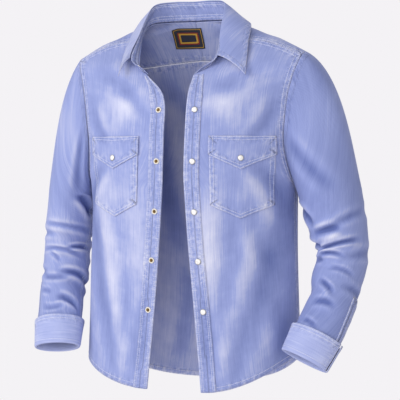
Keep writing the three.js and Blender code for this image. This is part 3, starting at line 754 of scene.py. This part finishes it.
for name, side in SIDES.items():
    pocket_place = patch(side, POCKET, pocket_rise)
    flap_place = patch(side, FLAP, flap_rise)
    pocket = shell(
        "pocket_patch_" + name,
        pocket_place,
        spread(50),
        spread(50),
        THIN_PLY,
        DENIM,
        lift=POCKET_LIFT,
        edges="first last top",
        fade_and_painted_light=faded(FRONT_FADES + [[side * 135, -340, 40, 30, 0.2]]),
    )
    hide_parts("pocket_" + name)
    flap = shell(
        "flap_patch_" + name,
        flap_place,
        spread(50),
        spread(26),
        CLOTH,
        DENIM,
        edges="first last top bottom",
        fade_and_painted_light=faded([[side * 135, -262, 30, 14, 0.12]]),
    )
    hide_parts("pocket_flap_" + name)
    for inset_a, inset_b in POCKET_ROWS:
        for a, b in outline(60, inset_a, inset_b):
            sew_on("pocket_" + name, pocket_place, a, b, POCKET_LIFT + THIN_PLY / 2 + 0.1)
    for inset_a, inset_b in FLAP_ROWS:
        for a, b in outline(50, inset_a, inset_b, top=True):
            sew_on("flap_" + name, flap_place, a, b, ON_TOP)

# Sleeves
# Each sleeve is one piece closed by a seam under the arm and set into the armhole. It hangs a little bent at
# the elbow, so it keeps short deep creases in front of the elbow and rings of softer ones down to the cuff.
SLEEVE = columns(
    "leftX rightX y z leftWidth rightWidth depth twist",
    [
        [291, 274, 0, -345, 62, 47, 62, 0],
        [307, 282, 3, -415, 56, 48, 58, 0],
        [313, 285, -1, -466, 52, 48, 55, 0],
        [306, 283, -22, -528, 50, 47, 50, 0],
        [293, 278, -51, -585, 48, 46, 42, -3],
        [277, 272, -73, -628, 47, 47, 34, -6],
        [263, 269, -88, -660, 46, 48, 28, -8],
    ],
)
SLEEVE_LAST = 6
# Broad folds: the ring they lie at, the angle, depth, half width round the sleeve, half height and slant.
BIG_FOLDS = [
    [1.6, 150, 9, 55, 0.32, 0.5],
    [2.4, 120, 7, 60, 0.28, -0.3],
    [3.3, 160, 7, 50, 0.3, 0.3],
    [1.1, 90, -4, 60, 0.5, 0.2],
    [2.7, 300, 6, 55, 0.35, 0.4],
    [3.9, 100, 5, 60, 0.3, -0.2],
]
# Creases by their angle round the sleeve from the outside through the front and their distance down it,
# which LENGTHS gives for each row.
LENGTHS = ([0, 1, 2, 3, 4, 5, 6, 7], [0, 150, 222, 274, 342, 404, 451, 487])
CREASES_FADE = {"from_top": 40, "end": 452, "to_end": 30}
SLEEVE_CREASES = {
    -1: [
        [157, 165, 26, 9, 5.5, 45, 4],
        [112, 217, 60, 7, 2.8, 5, 6],
        [152, 270, 30, 6, 5.0, -5, 4],
        [100, 284, 55, 6, 3.0, 6, 4],
        [84, 302, 18, 5, 2.4, 35, 0],
        [146, 338, 40, 7, 5.5, 3, 5],
        [90, 354, 38, 6, 3.0, 0, -6],
        [62, 380, 18, 5, 2.4, 15, 0],
        [132, 399, 30, 7, 4.5, 15, 4],
        [86, 416, 30, 5, 2.4, 0, -5],
        [120, 70, 60, 12, 2.4, 70, 8],
        [30, 240, 50, 9, 2.2, -10, 6],
        [20, 330, 44, 8, 2.4, 8, 5],
        [230, 250, 40, 8, 3.6, 12, 5],
        [250, 300, 46, 8, 4.2, -8, 6],
        [225, 350, 40, 8, 3.6, 6, 4],
        [290, 380, 44, 8, 3.0, 10, 5],
        [300, 210, 50, 10, 2.4, -16, 6],
        [200, 190, 34, 9, 4.0, 20, 4],
    ],
    1: [
        [102, 213, 30, 9, 5.0, 4, 4],
        [104, 236, 30, 6, -1.6, 24, 2],
        [86, 248, 46, 6, 4.8, 12, 4],
        [104, 275, 30, 6, 4.2, 0, 5],
        [142, 291, 18, 7, 3.4, 0, 0],
        [70, 311, 28, 5, 2.6, -6, 3],
        [96, 350, 22, 6, 4.0, -28, 2],
        [92, 383, 26, 6, 3.6, 2, 3],
        [106, 426, 22, 5, 3.0, -10, 2],
        [66, 200, 50, 8, 2.4, 16, 5],
        [150, 170, 30, 10, 5.0, -40, 5],
        [160, 240, 30, 8, 4.4, -12, 4],
        [20, 270, 44, 9, 2.0, 10, 5],
        [15, 345, 40, 8, 2.2, -8, 5],
        [100, 80, 60, 13, 2.2, 110, 8],
        [230, 230, 40, 9, 3.6, 10, 5],
        [250, 290, 46, 8, 4.0, -8, 6],
        [225, 345, 40, 8, 3.6, 6, 4],
        [290, 390, 44, 8, 3.0, 10, 5],
        [300, 200, 50, 10, 2.4, -16, 6],
    ],
}
CREASE_DEPTH, CREASE_WIDTH = 1.35, 0.85
ARMHOLE_MIDDLE = {"y": -2, "z": -195}
CLEAR = {"top": 0.9, "under": 2.2}
SLEEVE_CAP = {
    "out": 0.9,
    "outUnder": 0.4,
    "down": {1: 0.5, -1: 1.15},
    "downUnder": 0.5,
    "forward": 0.1,
    "full": 0.85,
}
ARMHOLE_STATIONS = 60


def armhole(side):
    """The loop of the panels' side edges, by its angle from the top through the front."""
    points, outs = [], []
    for place, start, end, flip in (
        (front_cloth[side], ARMPIT, FRONT_TOP, 0),
        (back_cloth, ARMPIT, BACK_TOP, 1),
        (yoke_cloth[side], 0, YOKE_TOP, 0),
    ):
        v = np.linspace(start, end, ARMHOLE_STATIONS)
        p, n, _ = place(side + 0 * v if flip else 0 * v, v)
        points.append(p)
        outs.append(n)
    p, n = np.concatenate(points), np.concatenate(outs)
    angle = np.degrees(np.arctan2(ARMHOLE_MIDDLE["y"] - p[:, 1], p[:, 2] - ARMHOLE_MIDDLE["z"])) % 360
    order = np.argsort(angle)
    return angle[order], p[order], n[order]


def sleeve_middle(side, r):
    x = along(SLEEVE["leftX" if side > 0 else "rightX"], r)
    return stack(side * x, along(SLEEVE["y"], r), along(SLEEVE["z"], r))


def ring_point(side, r, angle, out=0.0, folds=True):
    """A point of the sleeve's ring r at an angle from the outside through the front, and the way down it."""
    r = np.clip(r, 0, SLEEVE_LAST)
    low, high = np.maximum(r - STEP, 0), np.minimum(r + STEP, SLEEVE_LAST)
    axis = unit(sleeve_middle(side, high) - sleeve_middle(side, low))
    sideways = unit(np.array([side, 0, 0]) - side * axis * axis[..., :1])
    fore = np.cross(axis, sideways)
    fore = np.where(fore[..., 1:2] > 0, -fore, fore)
    twist = np.radians(along(SLEEVE["twist"], r))
    turned = np.radians(angle) - twist
    inward = 0 * r
    for ring, at, depth, around, wide, slant in BIG_FOLDS if folds else []:
        away = (angle - at + 180) % 360 - 180
        level = (r - ring - slant * away / 90) / wide
        inward = inward + depth * np.exp(-((away / around) ** 2) - level**2)
    inward = inward * np.minimum(r, 1) * (r < SLEEVE_LAST - 1)
    width = along(SLEEVE["leftWidth" if side > 0 else "rightWidth"], r)
    across = (width - inward + out) * np.cos(turned)
    deep = (along(SLEEVE["depth"], r) - inward + out) * np.sin(turned)
    x = across * np.cos(twist) - deep * np.sin(twist)
    y = across * np.sin(twist) + deep * np.cos(twist)
    return sleeve_middle(side, r) + sideways * x[..., None] + fore * y[..., None], axis


def sleeve_surface(side):
    angles, loop, outs = armhole(side)

    def surface(angle, v):
        under = (1 - np.cos(np.radians(angle))) / 2
        start = np.stack([np.interp(angle % 360, angles, loop[:, i], period=360) for i in range(3)], -1)
        n = np.stack([np.interp(angle % 360, angles, outs[:, i], period=360) for i in range(3)], -1)
        start = start + n * (CLEAR["under"] * under)[..., None]
        start[..., 0] += side * CLEAR["top"] * (1 - under)
        end, axis = ring_point(side, 0 * v, angle)
        length = np.linalg.norm(end - start, axis=-1, keepdims=True) * SLEEVE_CAP["full"]
        leave = stack(
            side * (SLEEVE_CAP["out"] + (SLEEVE_CAP["outUnder"] - SLEEVE_CAP["out"]) * under),
            -SLEEVE_CAP["forward"] * np.sin(np.radians(angle)),
            -SLEEVE_CAP["down"][side] - SLEEVE_CAP["downUnder"] * under,
        )
        t = np.clip(v, 0, 1)[..., None]
        a, b = t * t * (3 - 2 * t), t * (1 - t)
        cap = start * (1 - a) + end * a + unit(leave) * length * b * (1 - t) - axis * length * b * t
        ring, _ = ring_point(side, np.maximum(v - 1, 0), angle)
        return np.where((v < 1)[..., None], cap, ring)

    return surface


def sleeve_cloth(side):
    surface = sleeve_surface(side)
    table = [row[:3] + [row[3] * CREASE_WIDTH] + row[4:] for row in SLEEVE_CREASES[side]]

    def place(angle, v, lift=0):
        p = surface(angle, v)
        v0 = np.clip(v, STEP, 7 - STEP)
        around = surface(angle + 0.5, v0) - surface(angle - 0.5, v0)
        down = surface(angle, v0 + STEP) - surface(angle, v0 - STEP)
        n = unit(np.cross(around, down)) * side
        distance = np.interp(v, *LENGTHS)
        fold = sum(creases([row], row[0] + (angle - row[0] + 180) % 360 - 180, distance) for row in table)
        fold = CREASE_DEPTH * fold * np.clip(distance / CREASES_FADE["from_top"], 0, 1)
        fold = fold * np.clip((CREASES_FADE["end"] - distance) / CREASES_FADE["to_end"], 0, 1)
        return p + n * (fold + lift)[..., None], n, fold

    return place


def sleeve_wash_and_painted_shade(side):
    """Bands of wash down the sleeve, with painted shade: darker beside the body, where the sleeve meets it,
    and darker all over on the wearer's left sleeve, away from the key light.
    """

    def fade_and_painted_light(p):
        bands = 0.10 * np.sin(p[..., 2] / 40)
        # Painted shade where the sleeve meets the body, and over the whole of the wearer's left sleeve, away
        # from the key light.
        painted_shade_beside_body = 0.25 * np.exp(-(((np.abs(p[..., 0]) - 215) / 16) ** 2))
        return bands - painted_shade_beside_body - 0.22 * (side > 0)

    return fade_and_painted_light


STRIP = {"first": 1, "last": 25, "top": 4.2, "bottom": 5.8}  # angles and rows
UNDER_SEAM = (176, 183)  # angles of the rows of stitches along the seam under the arm
sleeves = {}
for name, side in SIDES.items():
    sleeves[side] = sleeve_cloth(side)
    sleeve = shell(
        "sleeve_tube_" + name,
        sleeves[side],
        spread(132, 180, 540),
        np.concatenate([spread(44, 0, 1)[:-1], spread(110, 1, 6.75)]),
        CLOTH,
        DENIM,
        edges="bottom",
        closed=True,
        fade_and_painted_light=sleeve_wash_and_painted_shade(side),
    )
    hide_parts("sleeve_" + name)
    strip = shell(
        "sleeve_strip_" + name,
        sleeves[side],
        spread(4, STRIP["first"], STRIP["last"]),
        spread(40, STRIP["top"], STRIP["bottom"]),
        THIN_PLY,
        DENIM,
        lift=ON_PANEL + THIN_PLY / 2,
        edges="first last bottom",
    )
    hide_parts("sleeve_placket_" + name)
    for angle in (STRIP["first"] + 2, STRIP["last"] - 2):
        down_strip = 4.25 + line * 1.5
        sew_on("sleeve_" + name, sleeves[side], 0 * line + angle, down_strip, ON_PANEL + THIN_PLY + 0.1)
    for angle in UNDER_SEAM:
        sew_on("sleeve_" + name, sleeves[side], 0 * line + angle, 0.05 + line * 6.2, ON_TOP)

# Cuffs
# The cuffs are turned up once, so they show the paler wrong side of the denim, where the weft floats, and
# the twill runs round the wrist. They are sewn to the sleeves, and stitch lines lie near both edges.
CUFF = columns(
    "out up",
    [[-2.9, 21], [-2.7, 8], [-0.8, 1.6], [1.6, 0.2], [3.6, 1.8], [4.4, 14], [5.4, 36], [6.8, 56]],
)
CUFF_DROP = 3
CUFF_SLIT = {"angle": 6, "half_gap": 4}
CUFF_LAST = 7
CUFF_STITCH_ROWS = (6.85, 4.55, 6.6)
CUFF_RIPPLES = {"height": 0.5, "round": 5, "from": 4}
WRONG_SIDE = washed_denim("wrong_side_of_denim", "#7f8bc0", "#a2abd6", "#cdd2ea", streak=0.8, turned=True)


def cuff_cloth(side):
    """Places by the angle round the wrist and by k, which counts the stations of CUFF: from the edge of the
    inner layer, round the fold and up to the outer edge."""
    rings = np.linspace(SLEEVE_LAST, 3, 200)
    middles = sleeve_middle(side, rings)
    climbed = np.concatenate([[0], np.cumsum(np.linalg.norm(np.diff(middles, axis=0), axis=1))])
    _, fold_axis = ring_point(side, np.array([float(SLEEVE_LAST)]), np.array([0.0]))

    def surface(angle, k):
        r = np.interp(along(CUFF["up"], k), climbed, rings)
        return ring_point(side, r, angle, along(CUFF["out"], k))[0] + fold_axis[0] * CUFF_DROP

    def place(angle, k, lift=0):
        k0 = np.clip(k, STEP, CUFF_LAST - STEP)
        around = surface(angle + 0.5, k0) - surface(angle - 0.5, k0)
        rise = surface(angle, k0 + STEP) - surface(angle, k0 - STEP)
        n = unit(np.cross(rise, around)) * side
        ripple = np.sin(np.radians(angle) * CUFF_RIPPLES["round"] + k)
        fold = CUFF_RIPPLES["height"] * ripple * np.clip(k - CUFF_RIPPLES["from"], 0, 1)
        return surface(angle, k) + n * (fold + lift)[..., None], n, fold

    return place


for name, side in SIDES.items():
    cuff_place = cuff_cloth(side)
    first = CUFF_SLIT["angle"] + CUFF_SLIT["half_gap"]
    last = CUFF_SLIT["angle"] + 360 - CUFF_SLIT["half_gap"]
    cuff = shell(
        "cuff_band_" + name,
        cuff_place,
        spread(120, first, last),
        spread(64, 0, CUFF_LAST),
        CLOTH,
        WRONG_SIDE,
        edges="first last top",
    )
    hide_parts("cuff_" + name)
    ring_line = spread(200, first + 1, last - 1)
    for row in CUFF_STITCH_ROWS:
        sew_on("cuff_" + name, cuff_place, ring_line, 0 * ring_line + row, ON_TOP)

# Collar
# A shirt collar of the same denim in two parts: a stand sewn into the neck seam and a leaf folded down from
# its top. Both are stitched near their edges, and the leaf's edge is worn pale.
COLLAR = columns(
    "seamX seamY seamZ foldX foldY foldZ leftX leftY leftZ rightX rightY rightZ",
    [
        [0, 54, 14, 0, 47, 54, 0, 74, 6, 0, 74, 6],
        [48, 44, 13, 43, 38, 54, 58, 66, 6, 58, 66, 6],
        [82, 20, 8, 76, 14, 46, 106, 40, 5, 100, 38, 4],
        [90, -6, -8, 84, -14, 17, 137, 4, 0, 114, 4, -2],
        [88, -40, -46, 87, -42, -18, 148, -48, -44, 116, -48, -46],
        [76, -68, -84, 93, -76, -68, 156, -90, -108, 108, -106, -106],
        [48, -87, -105, 66, -86, -88, 156, -90, -108, 108, -106, -106],
    ],
)
LEAF_END = 5
STAND_END = 6
STAND_START = SEAM_GAP + CLOTH / 2 + 3 * FACET_SAG
STAND_ROUND = {"rows": 0.7, "lower": 0.35}
LEAF_BULGE = {"out": 8.4, "up": 18}
LEAF_WAVE = {"height": 0.5, "along": 5.1}
NECK_MIDDLE = np.array([NECK_X, -20, -10])


def collar_column(v, what):
    side, w = np.where(v < 0, -1, 1), np.abs(v)
    x, y, z = (along(COLLAR[what + axis], w) for axis in "XYZ")
    return stack(NECK_X + side * x, y, z)


def stand_surface(v, h):
    seam, fold = collar_column(v, "seam"), collar_column(v, "fold")
    height = np.linalg.norm(fold - seam, axis=-1)
    share = STAND_START / height * (1 - h) + h
    near_end = np.maximum((np.abs(v) - (STAND_END - STAND_ROUND["rows"])) / STAND_ROUND["rows"], 0)
    return seam + (fold - seam) * (share * (1 - STAND_ROUND["lower"] * near_end**2 * h))[..., None]


def leaf_surface(v, h):
    seam, fold = collar_column(v, "seam"), collar_column(v, "fold")
    edge = np.where((v < 0)[..., None], collar_column(v, "right"), collar_column(v, "left"))
    crest = fold + unit(fold - seam) * (CLOTH / 2 + SEAM_GAP + FACET_SAG)
    over = unit((fold - NECK_MIDDLE) * np.array([1, 1, 0]))
    hump = (h * (1 - h))[..., None]
    bulge = over * LEAF_BULGE["out"] + np.array([0, 0, LEAF_BULGE["up"]])
    return crest + (edge - crest) * h[..., None] + bulge * hump


def collar_cloth(surface, last):
    def place(v, h, lift=0):
        v0, h0 = np.clip(v, STEP - last, last - STEP), np.clip(h, STEP, 1 - STEP)
        run = surface(v0 + STEP, h) - surface(v0 - STEP, h)
        rise = surface(v, h0 + STEP) - surface(v, h0 - STEP)
        n = unit(np.cross(rise, run))
        wave = LEAF_WAVE["height"] * np.sin(v * LEAF_WAVE["along"]) * np.sin(h * np.pi) * (last == LEAF_END)
        return surface(v, h) + n * np.expand_dims(lift + wave, -1), n, wave

    return place


leaf_place = collar_cloth(leaf_surface, LEAF_END)
stand_place = collar_cloth(stand_surface, STAND_END)
leaf = shell(
    "collar_leaf_cloth",
    leaf_place,
    spread(200, -LEAF_END, LEAF_END),
    spread(26),
    CLOTH,
    DENIM,
    edges="first last top",
    # Painted light: the half of the leaf on the wearer's right, toward the key light, is paler.
    fade_and_painted_light=lambda p: 0.25 * (p[..., 0] < NECK_X) - INSIDE_PALER,
)
stand = shell(
    "collar_stand_cloth",
    stand_place,
    spread(200, -STAND_END, STAND_END),
    spread(12, 0, 0.97),
    CLOTH,
    DENIM,
    edges="first last top bottom",
    fade_and_painted_light=lambda p: -0.25 + 0 * p[..., 0],
)
for piece, stands_for, size in (
    (leaf, "collar_leaf", (0.52, 0.075)),
    (stand, "collar_stand", (0.50, 0.036)),
):
    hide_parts(stands_for)
whole_line = spread(220, -1, 1)
for distance in CLOSE_TWIN_ROWS:
    row = inset(leaf_place, whole_line * (LEAF_END - 0.1), 1 + 0 * whole_line, (0, -1), distance)
    sew_on("collar", leaf_place, *row, ON_TOP)
    for end in (-1, 1):
        row = inset(leaf_place, end * LEAF_END + 0 * line, 0.04 + line * 0.93, (-end, 0), distance)
        sew_on("collar", leaf_place, *row, ON_TOP)
for height, end in ((0.16, 5.7), (0.84, 5.5), (0.3, 5.6)):
    for lift in (ON_TOP, -ON_TOP):
        sew_on("collar", stand_place, spread(260, -end, end), height, lift)

# Woven label
# A small dark label of woven polyester, sewn flat inside the yoke below the neck seam. It carries a plain
# border and nested bars, which follow the distance to its edge. Its fine threads give it a dull sheen.
LABEL = {"centre_x": -36, "top": 3, "width": 64, "height": 41}
# Each colour starts at this share of LABEL_DEPTH in from the edge.
LABEL_DEPTH = 20
LABEL_BARS = ((0.1, "#b8923a"), (0.17, "#33343d"), (0.5, "#8c2f2c"), (0.62, "#c79c3c"), (0.8, "#33343d"))
LABEL_GROUND = "#33343d"
LABEL_THREADS = 320.0  # threads to the metre, coarser than the real ones so that they show


def label_place(a, b, lift=0):
    x = LABEL["centre_x"] + (a - 0.5) * LABEL["width"]
    z = LABEL["top"] - b * LABEL["height"]
    halves = []
    for side in (1, -1):
        u, v = locate(yoke_point(side), x, z, 0.9, 1.0, BACK_NECK)
        halves.append(yoke_cloth[side](u, v, lift))
    on_left = x > NECK_X
    return tuple(
        np.where(np.expand_dims(on_left, -1) if one.ndim > x.ndim else on_left, one, other)
        for one, other in zip(*halves)
    )


woven = bpy.data.materials.new("woven_polyester_label")
woven.use_nodes = True
woven.node_tree.nodes.clear()
seam = node(woven, "Attribute", attribute_name="seam").node.outputs["Fac"]
cloth = node(woven, "UVMap", uv_map="cloth")
inward = node(woven, "Math", {0: seam, 1: 1 / LABEL_DEPTH}, operation="MULTIPLY")
border = node(woven, "ValToRGB", {"Fac": inward})
border.node.color_ramp.interpolation = "CONSTANT"
stops = border.node.color_ramp.elements
for place, colour in LABEL_BARS:
    stops.new(place).color = linear(colour)
stops[0].color = linear(LABEL_GROUND)
stops[len(stops) - 1].color = linear(LABEL_GROUND)
thread_lines = {"Vector": cloth, "Scale": LABEL_THREADS, "Distortion": 0.3}
threads = node(woven, "TexWave", thread_lines).node.outputs["Fac"]
raised_threads = node(woven, "Bump", {"Height": threads, "Strength": 0.5, "Distance": 0.3 * MM})
finish = {
    "Base Color": border,
    "Normal": raised_threads,
    "Roughness": 0.6,
    "IOR": 1.5,
    "Specular IOR Level": 0.3,
}
node(woven, "OutputMaterial", {"Surface": node(woven, "BsdfPrincipled", finish)})
label = shell(
    "woven_label",
    label_place,
    spread(30),
    spread(20),
    THIN_PLY,
    woven,
    lift=-(ON_PANEL + FACET_SAG + THIN_PLY / 2),
    edges="first last top bottom",
)
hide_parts("label")

# Snaps
# Ring-prong snaps of 12 mm, pressed through the cloth: pearl resin caps in nickel rims on the wearer's left
# band and the flaps, and on the right band the open studs, antique brass in an ivory resin ring.
SNAP = {"radius": 6, "from_edge": {1: 18, -1: 13.5}, "heights": [-176, -277, -376, -473, -571], "sides": 36}
FLAP_SNAP_Z = -270


CLOUDS = 400.0  # one over 2.5 mm


def hard(name, colour, roughness, metallic=0.0, ior=1.5, grain=0.05):
    """A hard finish with a little cloudiness in its colour and small dents in its polish."""
    material = bpy.data.materials.new(name)
    material.use_nodes = True
    material.node_tree.nodes.clear()
    place = node(material, "TexCoord").node.outputs["Object"]
    cloud = node(material, "TexNoise", {"Vector": place, "Scale": CLOUDS, "Detail": 3.0})
    tint = node(material, "ValToRGB", {"Fac": cloud})
    stops = tint.node.color_ramp.elements
    stops[0].position, stops[1].position = 0.3, 0.7
    stops[0].color = [c * (1 - 4 * grain) for c in linear(colour)[:3]] + [1]
    stops[1].color = linear(colour)
    dents = node(material, "Bump", {"Height": cloud, "Strength": 0.3, "Distance": 0.1 * MM})
    finish = {"Base Color": tint, "Normal": dents, "Roughness": roughness, "Metallic": metallic, "IOR": ior}
    node(material, "OutputMaterial", {"Surface": node(material, "BsdfPrincipled", finish)})
    return material


# Cast resin is glossy and milky, plated and tumbled metal is softly bright, and antiqued brass is blotched.
PEARL = hard("pearl_resin", "#f3f1ee", 0.22, ior=1.55)
NICKEL = hard("nickel_plate", "#a9a6a0", 0.3, metallic=1.0)
IVORY = hard("ivory_resin", "#e9e2d2", 0.35, ior=1.5)
ANTIQUE_BRASS = hard("antique_brass", "#8a6f45", 0.38, metallic=1.0, grain=0.12)
# Profiles as radius, height and which of two finishes, from the middle outwards.
CAP = [
    [0, 2.4, 0],
    [2.6, 2.25, 0],
    [4.3, 1.9, 0],
    [4.9, 1.5, 0],
    [5.0, 1.35, 1],
    [5.5, 1.5, 1],
    [5.95, 1.0, 1],
    [6, 0.4, 1],
    [5.9, 0, 1],
    [0, 0, 1],
]
STUD = [
    [0, 2.4, 1],
    [1.1, 2.3, 1],
    [1.7, 1.8, 1],
    [1.6, 0.8, 1],
    [2.4, 0.6, 1],
    [3.2, 0.8, 1],
    [3.5, 1.3, 0],
    [4.6, 1.6, 0],
    [5.6, 1.2, 0],
    [6, 0.5, 0],
    [5.9, 0, 0],
    [0, 0, 0],
]


def snap(name, stands_for, profile, finishes, p, n, lift, scale=1.0):
    """Turns a profile round the outward direction n, from a point p of the cloth."""
    turned = spread(SNAP["sides"], 0, math.tau)[:-1]
    across = unit(np.cross(n, [0.3, 0.2, 1]))
    up = np.cross(n, across)
    ring = np.cos(turned)[:, None] * across + np.sin(turned)[:, None] * up
    points = [p + n * (lift + profile[0][1] * scale)]
    for radius, height, _ in profile[1:-1]:
        points += list(p + n * (lift + height * scale) + ring * radius * scale)
    points.append(p + n * lift)
    count = SNAP["sides"]
    faces, marks = [], []
    for j in range(count):
        k = (j + 1) % count
        faces.append([0, 1 + j, 1 + k])
        marks.append(profile[0][2])
        for i in range(len(profile) - 3):
            a = 1 + i * count
            faces.append([a + j, a + count + j, a + count + k, a + k])
            marks.append(profile[i + 1][2])
        a = 1 + (len(profile) - 3) * count
        faces.append([a + j, len(points) - 1, a + k])
        marks.append(profile[-1][2])
    mesh = bpy.data.meshes.new(name)
    mesh.from_pydata([list(q * MM) for q in points], [], faces)
    for finish in finishes:
        mesh.materials.append(finish)
    mesh.polygons.foreach_set("material_index", marks)
    mesh.polygons.foreach_set("use_smooth", [True] * len(faces))
    piece = bpy.data.objects.new(name, mesh)
    scene.collection.objects.link(piece)
    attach(piece, "root")
    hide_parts(stands_for)


rows_up = np.linspace(0, NECK_CORNER - 1, 600)
for name, side in SIDES.items():
    share = SNAP["from_edge"][side] / PLACKET["width"]
    p, n, _ = placket_cloth[side](0 * rows_up + share, rows_up)
    for i, z in enumerate(SNAP["heights"], 1):
        at = int(np.argmin(np.abs(p[:, 2] - z)))
        if side > 0:
            kind, shape, finishes, slot = "cap", CAP, (PEARL, NICKEL), "pearl"
        else:
            kind, shape, finishes, slot = "stud", STUD, (IVORY, ANTIQUE_BRASS), "brass"
        lift = ON_PANEL + PLACKET["ply"] + 0.2
        snap("%s_snap_%d" % (kind, i), "snap_%s_%d" % (kind, i), shape, finishes, p[at], n[at], lift)
    x = np.array([side * (FLAP["inner"] + FLAP["outer"]) / 2 + FLAP["shift"]], float)
    u, v = locate(front_point(side), x, np.array([FLAP_SNAP_Z], float), 0.5, 4.5, FRONT_TOP)
    p, n, _ = front_cloth[side](u, v)
    lift = FLAP_LIFT["low"] + BELLY + CLOTH / 2 + 0.1
    snap("flap_snap_" + name, "snap_flap_" + name, CAP, (PEARL, NICKEL), p[0], n[0], lift)
COLLAR_SNAP = {"at": (-5.5, 0.5), "scale": 0.75}
p, n, _ = stand_place(*(np.array([place]) for place in COLLAR_SNAP["at"]))
finishes, lift, scale = (IVORY, ANTIQUE_BRASS), CLOTH / 2 + 0.3, COLLAR_SNAP["scale"]
snap("collar_snap", "snap_collar", STUD, finishes, p[0], -n[0], lift, scale)

# Topstitching thread
# Spun thread, matt and paler than the cloth, that went through each piece after it was folded. The rows of
# stitches gathered above are made here, as one mesh for each piece that they hold.
THREAD = hard("pale_spun_thread", "#d9dcee", 0.85)
for group in thread_points:
    mesh = bpy.data.meshes.new("stitches_" + group)
    points = np.concatenate(thread_points[group]) * MM
    mesh.from_pydata(points.tolist(), [], np.concatenate(thread_faces[group]).tolist())
    mesh.materials.append(THREAD)
    rows_of_stitches = bpy.data.objects.new("stitches_" + group, mesh)
    scene.collection.objects.link(rows_of_stitches)
    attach(rows_of_stitches, "root")


# Studio
# A large soft light from the wearer's right front, weaker ones in front, on the left and behind, a pale
# surround, and a plain pale floor that takes shadows and is otherwise as pale as the surround. The camera
# stands where the photograph was taken from.
LOOK_AT = (0.0147, 0.0, -0.357)
CAMERA = {"azimuth": 20, "elevation": 2, "distance": 2.6, "lens": 113.6}
turn, tilt = math.radians(CAMERA["azimuth"]), math.radians(CAMERA["elevation"])
camera = bpy.data.objects.new("camera", bpy.data.cameras.new("camera"))
camera.data.lens, camera.data.sensor_width = CAMERA["lens"], 36
back_off = (math.sin(turn) * math.cos(tilt), -math.cos(turn) * math.cos(tilt), math.sin(tilt))
camera.location = [a + CAMERA["distance"] * b for a, b in zip(LOOK_AT, back_off)]
camera.rotation_euler = (math.pi / 2 - tilt, 0, turn)
scene.collection.objects.link(camera)
scene.camera = camera
# Place, size in metres and power in watts.
for name, place, size, power in (
    ("key", (-2.2, -2.6, 1.1), 2.2, 76),
    ("front", (0.5, -3.3, -0.1), 1.6, 30),
    ("fill", (2.6, -2.0, 0.6), 2.6, 10),
    ("back", (0.6, 2.6, 1.6), 2.0, 26),
):
    lamp = bpy.data.objects.new(name, bpy.data.lights.new(name, "AREA"))
    lamp.data.size, lamp.data.energy = size, power
    lamp.location = place
    lamp.rotation_euler = (Vector(LOOK_AT) - Vector(place)).to_track_quat("-Z", "Y").to_euler()
    scene.collection.objects.link(lamp)
SURROUND = {"colour": "#f4f2f5", "lighting": 0.56, "seen": 1.0}
surround = bpy.data.worlds.new("surround")
surround.use_nodes = True
backdrop = surround.node_tree.nodes["Background"]
backdrop.inputs["Color"].default_value = linear(SURROUND["colour"])
seen = node(surround, "LightPath")
levels = {"Value": seen, "To Min": SURROUND["lighting"], "To Max": SURROUND["seen"]}
level = node(surround, "MapRange", levels)
surround.node_tree.links.new(level, backdrop.inputs["Strength"])
scene.world = surround
scene.view_settings.view_transform = "Standard"
FLOOR = {"half": 2.4, "level": -1.6}
corners = ((-1, -1), (1, -1), (1, 1), (-1, 1))
corners = [(x * FLOOR["half"], y * FLOOR["half"], FLOOR["level"]) for x, y in corners]
floor_mesh = bpy.data.meshes.new("floor")
floor_mesh.from_pydata(corners, [], [(0, 1, 2, 3)])
floor = bpy.data.objects.new("floor", floor_mesh)
scene.collection.objects.link(floor)
pale_paper = bpy.data.materials.new("pale_paper")
pale_paper.use_nodes = True
paper = pale_paper.node_tree.nodes["Principled BSDF"]
paper.inputs["Base Color"].default_value = linear("#f3f1f4")
paper.inputs["Roughness"].default_value = 1.0
floor_mesh.materials.append(pale_paper)
floor.is_shadow_catcher = True
